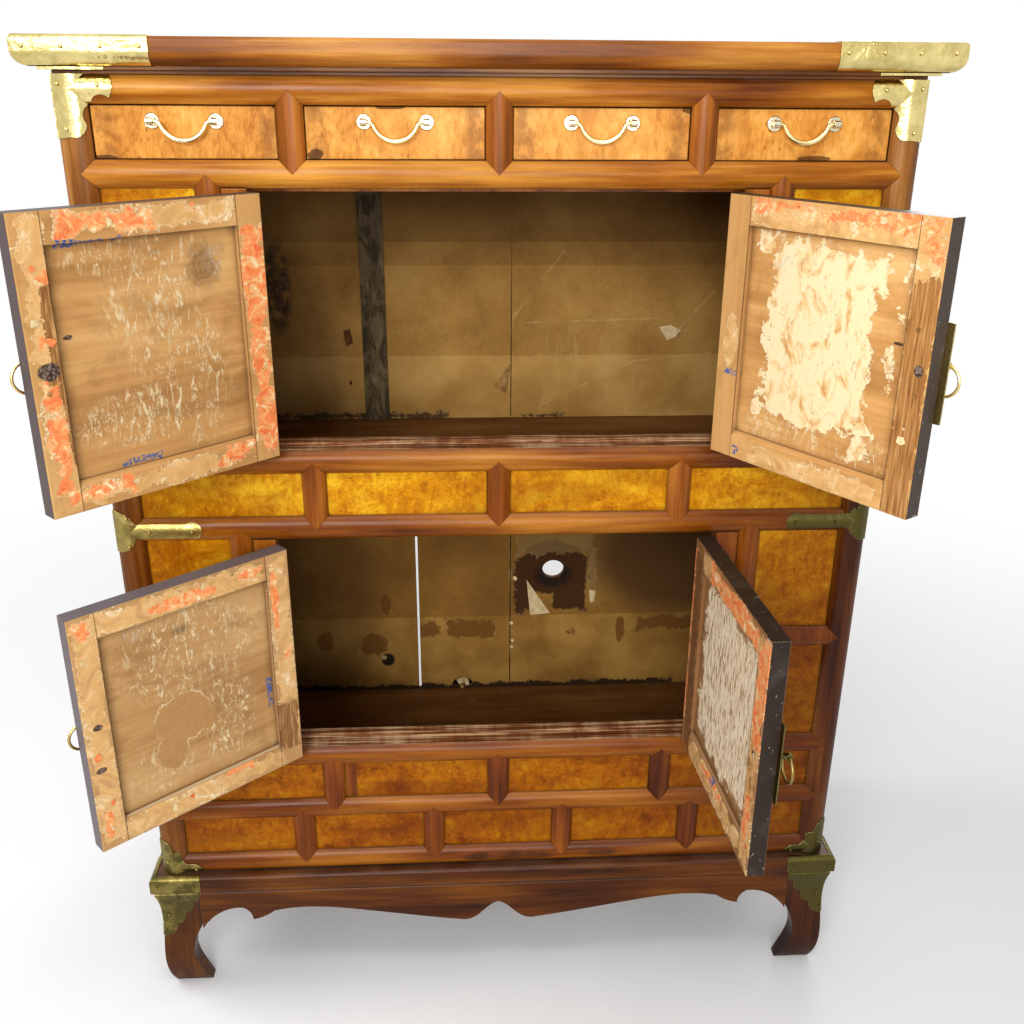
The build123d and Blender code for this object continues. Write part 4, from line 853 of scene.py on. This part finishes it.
def door_material(door, seed):
    look = DOOR_LOOKS[door]
    tall = DOOR_HEIGHTS[door]
    g = Graph(f"{door}_door")
    place = g.place()
    local, facing = door_place(g, door)
    u, v, w = g.split(local)
    chart = Chart(g, u, w, seed)
    facing_in = g.range(g.split(facing)[1], 0.3, 0.6)
    facing_out = g.range(g.split(facing)[1], -0.3, -0.6)

    free_stile = g.range(u, FREE_STILE - 0.1, FREE_STILE + 0.1)
    stile = g.either(g.range(u, STILE + 0.1, STILE - 0.1), free_stile)
    level = g.join(u, v, w)
    upright = g.join(w, v, u)
    grained = g.scale(g.blend_vector(stile, level, upright), (MM, MM, MM))
    surface = wood_surface(g, grained, seed, *look["wood"], 26, 0.9)
    surface.roughness = g.add(surface.roughness, 0.34)
    cloud = g.noise(place, 24, 4, 0.6)
    surface.cover((stile, 0.4), look["stile"])
    surface.cover(g.range(cloud, 0.5, 0.75, 0, 0.5), look["wood"][0])

    on_frame = g.range(v, 24, 25)
    on_panel = g.range(v, 19.5, 19)
    on_lip = g.both(g.range(v, 19.2, 19.8), g.range(v, 26.2, 25.6), facing_in)

    rim_tone = g.mix(g.range(chart.frayed, 0.4, 0.6), PAPER, CREAM)
    scratch = g.streaks(chart.point, (0.42, 0.11, 1), 5, 0.7, 1.5)
    smear = g.streaks(chart.point, (0.075, 0.03, 1), 7, 0.72, 2.2)
    scraped_field = g.both(chart.soft(look["scraped"], 26), on_panel)
    haze = g.range(g.add(smear, g.times(chart.ragged, 0.5)), 0.72, 0.95)
    surface.cover((haze, scraped_field, 0.45), srgb(228, 202, 150), 0.85, 0.0001)
    flakes = g.range(g.add(smear, g.times(scratch, 0.7)), 0.9, 0.97)
    surface.cover((flakes, scraped_field, 0.85), srgb(242, 222, 180), 0.85, 0.0002)
    stained = g.streaks(chart.point, (0.012, 0.03, 1), 4, 0.6, 1)
    surface.cover((g.range(stained, 0.5, 0.68, 0, 0.4), on_panel), look["wood"][0])

    if "cream" in look:
        cream, rim = chart.torn(look["cream"], 14, 5)
        wound = g.streaks(chart.point, (0.11, 0.035, 1), 6, 0.7, 2.4)
        wound = g.add(wound, g.times(chart.frayed, 0.3))
        if door == "lower_right":
            tone = g.ramp(
                g.streaks(chart.point, (0.26, 0.045, 1), 6, 0.68, 0.7),
                (0.35, srgb(132, 98, 66)), (0.44, srgb(214, 182, 142)), (0.51, srgb(252, 236, 206)),
            )
            worn = g.range(wound, 0.76, 0.88, 1, 0.3)
        else:
            tone = g.ramp(
                g.streaks(chart.point, (0.05, 0.03, 1), 6, 0.62, 1),
                (0.34, srgb(212, 158, 96)), (0.42, srgb(234, 198, 142)), (0.5, srgb(243, 220, 174)),
            )
            worn = g.range(wound, 0.74, 0.84, 1, 0.2)
        surface.cover((cream, on_panel, worn), tone, 0.85, 0.0003)
        surface.cover((rim, on_panel, 0.7), CREAM, 0.85, 0.0002)
    if "patch" in look:
        patch, rim = chart.torn(look["patch"], 4, 1.6)
        surface.cover((patch, on_panel), look["wood"][1], 0.7, -0.0002)
        surface.cover((patch, on_panel, g.range(scratch, 0.4, 0.6, 0, 0.3)), look["wood"][0])
        surface.cover((rim, on_panel, 0.5), CREAM, 0.85, 0.0002)

    knot_field = g.sway(chart.region(look["knot"]), chart.ragged, 26)
    ring = g.fit(g.math("SINE", g.times(knot_field, 0.8)), 0.08, 0.55)
    knot = g.both(g.range(knot_field, -9, 12), ring, on_panel)
    surface.cover(knot, srgb(78, 46, 30), 0.6)
    fleck = g.both(chart.soft([look["fleck"]], 7), g.range(scratch, 0.52, 0.58), on_panel)
    surface.cover((fleck, 0.85), srgb(206, 200, 188), 0.7, 0.0002)

    paper, rim = chart.torn(look["paper"], 8, 3)
    layers = g.streaks(chart.point, (0.028, 0.028, 1), 6, 0.66, 1.6)
    paper_tone = g.ramp(
        layers, (0.34, look["stile"]), (0.5, srgb(222, 174, 110)), (0.6, PAPER), (0.68, CREAM)
    )
    surface.cover((paper, on_frame, 0.85), paper_tone, 0.85, 0.0003)
    surface.cover((rim, on_frame, 0.8), rim_tone, 0.85, 0.0003)
    orange, orange_rim = chart.torn(look["orange"], 11, 4.5)
    fade = g.streaks(chart.point, (0.07, 0.07, 1), 6, 0.68, 1.2)
    paint = g.ramp(
        fade, (0.34, CREAM), (0.42, PEACH), (0.52, BRIGHT_ORANGE), (0.62, ORANGE), (0.74, RED)
    )
    surface.cover((orange, on_frame, 0.9), paint, 0.75, 0.0001)
    surface.cover((orange_rim, on_frame, g.range(chart.frayed, 0.4, 0.6)), rim_tone, 0.85, 0.0003)
    crackle = g.range(g.cells(g.scale(chart.point, (0.16, 0.1, 1)), 1, "DISTANCE_TO_EDGE"), 0.035, 0)
    broken = g.both(crackle, g.either(orange, paper), on_frame, g.range(layers, 0.5, 0.6))
    surface.cover((broken, 0.55), srgb(110, 66, 34), 0.85, -0.0002)
    bare, _ = chart.torn(look["bare"], 5, 2)
    streaked = g.streaks(chart.point, (0.34, 0.018, 1), 5, 0.65, 0.4)
    bare_tone = g.ramp(
        streaked, (0.34, srgb(128, 80, 42)), (0.5, look["wood"][0]), (0.66, look["stile"])
    )
    surface.cover((bare, on_frame), bare_tone, 0.65, -0.0002)
    surface.cover((on_lip, chart.soft([("box", 30, 252, 30, 40)], 1), 0.7), look["lip"], 0.7)

    blue, _ = chart.torn(look["blue"], 2.5, 1.5)
    surface.cover((blue, facing_in, g.range(chart.frayed, 0.42, 0.55)), BLUE, 0.6)
    joint = chart.region([
        ("box", STILE - 0.35, STILE + 0.35, 0, tall),
        ("box", FREE_STILE - 0.35, FREE_STILE + 0.35, 0, tall),
    ])
    surface.cover((g.range(joint, -0.3, 0.2), on_frame, 0.75), srgb(58, 36, 20), 0.9, -0.0006)
    # Painted shade: the mortise holes are drawn dark, with paler worn spots, and pressed in only by
    # bump.
    hollow, hollow_rim = chart.torn(look["dark"], 1.6, 1)
    shaded_hollow = g.mix(g.range(chart.frayed, 0.45, 0.6), srgb(36, 30, 30), srgb(128, 112, 104))
    surface.cover((hollow, facing_in, 0.92), shaded_hollow, 0.9, -0.002)
    surface.cover((hollow_rim, facing_in, 0.5), srgb(84, 60, 44), 0.9)

    # Dirt, and painted shade in the corners where the panel sits back in the frame, from an occlusion
    # mask.
    grime_and_shade = g.range(g.crevice(0.012), 0.35, 0.9, 0.7, 0)
    surface.cover(grime_and_shade, srgb(62, 40, 22), 0.9)

    outside = burl_colour(g, place)
    low_rail = g.range(w, RAIL + 0.1, RAIL - 0.1)
    framed = g.either(stile, low_rail, g.range(w, tall - RAIL - 0.1, tall - RAIL + 0.1))
    outer_frame = g.mix(g.range(scratch, 0.3, 0.7), srgb(86, 42, 18), srgb(140, 82, 38))
    surface.cover(facing_out, g.mix(framed, outside, outer_frame), 0.32)

    edge, soft = g.edge(0.0014)
    sides = g.both(
        g.math("SUBTRACT", 1, facing_in),
        g.math("SUBTRACT", 1, facing_out),
        g.either(
            g.range(u, FREE_EDGE - 0.3, FREE_EDGE),
            g.range(u, HINGE_EDGE + 0.3, HINGE_EDGE),
            g.range(w, 0.6, 0.2),
            g.range(w, tall - 0.9, tall - 0.4),
        ),
    )
    lacquer = g.mix(g.range(cloud, 0.5, 0.9), look["edge"], srgb(84, 76, 72))
    surface.cover((sides, 0.95), lacquer, 0.4)
    chips = g.both(g.range(g.noise(place, 110, 6, 0.75), 0.63, 0.67), sides)
    surface.cover((chips, 0.7), srgb(182, 172, 158), 0.8, -0.0002)
    worn_edge = g.both(edge, g.range(g.noise(place, 90), 0.45, 0.6), 0.6)
    surface.cover(worn_edge, srgb(206, 176, 132), 0.7)
    return surface.finish(soft, BARE)


def burl_colour(g, place):
    swirl = g.streaks(place, (30, 30, 22), 3, 0.6, 1.4)
    squiggle = g.streaks(place, (330, 330, 110), 3, 0.62, 1.2)
    tone = g.add(g.times(swirl, 0.5), g.times(squiggle, 0.5))
    return g.ramp(tone, (0.3, srgb(150, 78, 8)), (0.5, srgb(204, 126, 20)), (0.7, srgb(232, 164, 48)))


def dress_doors():
    for seed, door in enumerate(DOORS):
        tint(door_material(door, 20 + 31 * seed), f"{door}_door_frame", f"{door}_door_panel")


# Scraps of torn paper and the repaired panel

SCRAP_THICKNESS = 0.4
BOARD_FRONT = 370.3  # face of the back boards
FRAME_FACE = 26.5  # inner face of a door's frame, from its hinge axis


def door_point(door, across, depth, up):
    """Place in metres of a point in a door's own millimetres; undoes door_place."""
    hinge = joints[f"{door}_door_hinge"]
    pivot = Vector(hinge["pos_m"])
    side = -1 if door.endswith("left") else 1
    foot = Vector((0, 0, -DOOR_HEIGHTS[door] / 2))
    local = (Vector((-across, depth, up)) + foot) * MM
    turned = Matrix.Rotation(-math.radians(hinge["range_deg"][0]), 3, "Z") @ local
    return pivot + Vector((side * turned.x, turned.y, turned.z))


def wall_point(across, lift, up):
    return Vector((across, BOARD_FRONT - lift, up)) * MM


def paper_scrap(name, points, place, material, body):
    """Scrap of paper with its outline as (across, up, lift off the board) in millimetres."""
    shape = bmesh.new()
    inner = [shape.verts.new(place(across, lift, up)) for across, up, lift in points]
    outer = [
        shape.verts.new(place(across, lift + SCRAP_THICKNESS, up)) for across, up, lift in points
    ]
    shape.faces.new(inner)
    shape.faces.new(outer[::-1])
    for index, vertex in enumerate(inner):
        shape.faces.new((vertex, outer[index], outer[index - 1], inner[index - 1]))
    bmesh.ops.triangulate(shape, faces=shape.faces[:])
    bmesh.ops.recalc_face_normals(shape, faces=shape.faces[:])
    mesh = bpy.data.meshes.new(name)
    shape.to_mesh(mesh)
    shape.free()
    mesh.materials.append(material)
    scrap = bpy.data.objects.new(name, mesh)
    bpy.context.scene.collection.objects.link(scrap)
    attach(scrap, body)


def old_paper(name, dark, light):
    g = Graph(name)
    place = g.place()
    fibre = g.noise(place, 90, 5, 0.6)
    colour = g.ramp(fibre, (0.3, dark), (0.65, light))
    surface = Surface(g, colour, g.fit(fibre, 0.2, 0.7), g.times(fibre, 0.0002))
    return surface.finish(None, BARE)


WALL_SCRAPS = {
    "upper_flap": ("brown", [(41, 834, 0.1), (13, 794, 7), (31, 783, 5)]),
    "upper_torn_corner": (
        "pale", [(283, 890, 0.1), (300, 894, 3), (318, 886, 7), (309, 874, 5), (296, 868, 2)]
    ),
    "upper_dark_curl": ("dark", [(-230, 887, 0.1), (-219, 889, 0.2), (-215, 868, 4), (-226, 862, 5)]),
    "lower_triangle": ("pale", [(71, 437, 0.1), (78, 367, 0.4), (114, 370, 0.4)]),
    "lower_strip": ("pale", [(184, 415, 0.1), (195, 413, 0.2), (193, 392, 1.5), (186, 390, 1)]),
    "lower_crumb_1": ("pale", [(-55, 236, 0.1), (-46, 240, 1.5), (-44, 231, 3), (-52, 228, 3)]),
    "lower_crumb_2": ("pale", [(-41, 236, 0.1), (-35, 238, 1), (-33, 227, 4), (-40, 226, 4)]),
    "lower_crumb_3": ("brown", [(-50, 228, 1), (-42, 226, 2), (-43, 220, 5), (-49, 221, 5)]),
}
SEAM_FLAKE_HEIGHTS = (303, 316, 352, 441)
DOOR_FLAKES = 7

# Slip in the lower panel, in metres
REPAIR_ACROSS = (-0.2135, -0.1985)
REPAIR_UP = (0.3205, 0.3755)
REPAIR_PROUD = 0.0006
REPAIR_DEPTH = 0.002


def add_wall_scraps(papers):
    for name, (kind, points) in WALL_SCRAPS.items():
        paper_scrap(name, points, wall_point, papers[kind], "case")
    chance = random.Random(4)
    for number, z in enumerate(SEAM_FLAKE_HEIGHTS):
        x = chance.uniform(44, 50)
        size = chance.uniform(2.5, 5.5)
        foot = (x + 0.3 * size, z - size, 2.5)
        points = [(x, z + size, 0.1), (x + size, z, 1.5), foot, (x - 4, z, 0.1)]
        name = f"seam_flake_{number}"
        paper_scrap(name, points, wall_point, papers["pale"], "case")


def add_door_flakes(papers):
    """Small curled flakes that stand off the frames of the open doors."""
    for seed, door in enumerate(DOORS):
        chance = random.Random(40 + seed)
        tall = DOOR_HEIGHTS[door]

        def on_frame(across, lift, up):
            return door_point(door, across, FRAME_FACE + lift, up)

        for number in range(DOOR_FLAKES):
            middle = (chance.uniform(256, 272), chance.uniform(20, tall - 20))
            if number % 2:
                across = chance.uniform(45, 240)
                middle = (across, chance.choice((16, tall - 15)) + chance.uniform(-6, 6))
            turn, size = chance.uniform(0, math.tau), chance.uniform(2.5, 6)
            lifts = (0.1, 0.1, 1, 0.2, 0.1)
            uneven = [chance.uniform(0.45, 1.3) for _ in lifts]
            points = []
            for step, (lift, far) in enumerate(zip(lifts, uneven)):
                angle = turn + step * math.tau / len(lifts)
                reach = far * size
                x = middle[0] + reach * math.cos(angle)
                points.append((x, middle[1] + reach * math.sin(angle), lift))
            paper = papers[chance.choice(("pale", "pale", "brown", "orange"))]
            name = f"{door}_flake_{number}"
            paper_scrap(name, points, on_frame, paper, f"{door}_door")


def add_repair(material):
    """Dark slip let into the left end of one lower panel."""
    front = min(vertex.co.y for vertex in nodes["row_panels"].data.vertices)
    (left, right), (foot, head) = REPAIR_ACROSS, REPAIR_UP
    low = Vector((left, front - REPAIR_PROUD, foot))
    high = Vector((right, front + REPAIR_DEPTH, head))
    bpy.ops.mesh.primitive_cube_add(size=1, location=(low + high) / 2, scale=high - low)
    slip = bpy.context.object
    bpy.ops.object.transform_apply(location=True, rotation=True, scale=True)
    slip.name = "panel_repair"
    slip.data.materials.append(material)
    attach(slip, "case")


def add_scraps():
    papers = {
        "pale": old_paper("pale_paper", srgb(206, 172, 118), srgb(236, 214, 168)),
        "brown": old_paper("brown_paper", srgb(120, 84, 42), srgb(186, 142, 84)),
        "dark": old_paper("dark_paper", srgb(70, 40, 18), srgb(120, 74, 36)),
        "orange": old_paper("orange_paper", srgb(226, 92, 52), srgb(244, 150, 92)),
    }
    add_wall_scraps(papers)
    add_door_flakes(papers)
    add_repair(nodes["row_stiles"].material_slots[0].material)


# Brass


def brass(name, bright, dull, tarnish, seed, dents):
    """Hand-cut sheet brass: uneven, darker and greener towards the floor and the lower right, partly
    tarnish and partly painted shade.
    """
    g = Graph(name)
    place = g.place()
    shifted = g.vector("ADD", place, (seed, seed, seed))
    height = g.split(place)[2]
    cloud = g.noise(shifted, 24, 4, 0.6, 0.4)
    blotch = g.noise(shifted, 90, 4, 0.65)
    fine = g.noise(shifted, 420, 2, 0.5)
    # Partly tarnish, partly painted shade of the light falling off towards the floor.
    tarnish_and_shade = g.sway(g.range(height, 1.28, 0.3, 0.16, 0.9), cloud, 1.1)
    tarnish_and_shade = g.sway(tarnish_and_shade, blotch, 0.6)
    # Painted shade: darker towards the lower right, where less light falls.
    shaded = g.both(g.range(g.split(place)[0], 0, 0.4, 0, 0.5), g.range(height, 1, 0.75))
    tarnish_and_shade = g.add(tarnish_and_shade, shaded)
    colour = g.ramp(tarnish_and_shade, (0, bright), (0.5, dull), (1, tarnish))
    roughness = g.sway(g.range(tarnish_and_shade, 0, 1, 0.2, 0.42), fine, 0.16)
    relief = g.add(g.times(cloud, dents), g.times(blotch, dents * 0.1))
    surface = Surface(g, colour, roughness, relief)
    surface.cover(g.range(g.crevice(0.003), 0.3, 0.8, 0.7, 0), tarnish, 0.6)
    edge, soft = g.edge(0.0007)
    surface.cover((edge, 0.75), bright, 0.25)
    return surface.finish(soft, METAL)


def dress_brass():
    sheet = brass("brass_sheet", srgb(236, 216, 146), srgb(172, 152, 86), srgb(84, 76, 38), 1, 0.0022)
    bar = brass("brass_bar", srgb(250, 234, 176), srgb(220, 194, 120), srgb(150, 126, 70), 2, 0.001)
    rosette = brass(
        "brass_rosette", srgb(226, 218, 190), srgb(180, 164, 124), srgb(112, 92, 60), 3, 0.002
    )
    tint(sheet, "corner_brasses", "top_corner_brasses", "brass_nails")
    tint(sheet, "frame_hinge_leaves", "hinge_pins", *(f"{door}_door_brass" for door in DOORS))
    tint(rosette, *(f"drawer_{number}_rosettes" for number in DRAWERS))
    bails = (f"drawer_{number}_bail" for number in DRAWERS)
    tint(bar, *bails, *(f"{door}_ring_pull" for door in DOORS))


# Studio

FLOOR_GREY = 0.7
FLOOR_LIFT = 0.25  # light of its own, with which the lit floor shows nearly white
FLOOR_FADE = (0.9, 2.4)  # distances over which the floor goes over into the white backdrop
# Painted contact shadow: the floor is darkened round the chest by an occlusion mask; these set its
# reach and its darkest level.
CONTACT_REACH = 0.3  # how far the chest darkens the floor around it
CONTACT_SHADE = 0.4
WORLD_STRENGTH = 0.18

# Lamp: place, target, size in metres, power in watts
LIGHTS = {
    "key": ((-0.8, -2.75, 1.95), (0, 0, 1.1), (1.2, 0.9), 58),
    "overhead": ((-0.1, -1.2, 2.9), (0, 0, 1.1), (1.8, 0.5), 18),
    "fill": ((0.2, -2.95, 1.35), (0, 0, 1), (0.9, 0.7), 24),
    "behind": ((1.6, 2.9, 1.9), (0, 0, 0.7), (1.6, 1), 36),
    "left": ((-2.4, 0.5, 2.4), (0.3, 0.1, 0), (1.4, 1.4), 46),
}


def add_light(name, place, target, size, power):
    data = bpy.data.lights.new(name, "AREA")
    data.shape = "RECTANGLE"
    data.size, data.size_y = size
    data.energy = power
    light = bpy.data.objects.new(name, data)
    light.location = place
    light.rotation_euler = (Vector(target) - Vector(place)).to_track_quat("-Z", "Y").to_euler()
    bpy.context.scene.collection.objects.link(light)


def add_floor():
    bpy.ops.mesh.primitive_plane_add(size=60, location=(0, 0, 0))
    floor = bpy.context.object
    floor.name = "studio_floor"
    g = Graph("studio_floor")
    seen = g.seen_directly()
    diffuse = g.make("BsdfDiffuse", ((FLOOR_GREY, FLOOR_GREY, FLOOR_GREY, 1),))
    lifted = g.make("AddShader", (diffuse, g.emit(FLOOR_LIFT)))
    # Painted contact shadow round the chest.
    open_floor = g.range(g.crevice(CONTACT_REACH), 0.1, 0.85, CONTACT_SHADE, 1)
    near = g.mix_shaders(seen, diffuse, g.mix_shaders(open_floor, g.emit(0), lifted))
    far = g.range(g.length(g.place()), *FLOOR_FADE)
    g.show(g.mix_shaders(g.both(far, seen), near, g.emit(1)))
    floor.data.materials.append(g.owner)


def add_world():
    """White where it is seen, and a plain low level where it lights the chest."""
    g = Graph("studio", "worlds", "OutputWorld")
    strength = g.blend(g.seen_directly(), WORLD_STRENGTH, 1)
    g.show(g.make("Background", {"Color": (1, 1, 1, 1), "Strength": strength}))
    bpy.context.scene.world = g.owner


def add_studio():
    add_camera()
    add_world()
    add_floor()
    for name, values in LIGHTS.items():
        add_light(name, *values)
    bpy.context.scene.view_settings.view_transform = "Standard"


add_studio()
dress_wood()
dress_upper_back()
dress_lower_back()
dress_doors()
dress_brass()
add_scraps()
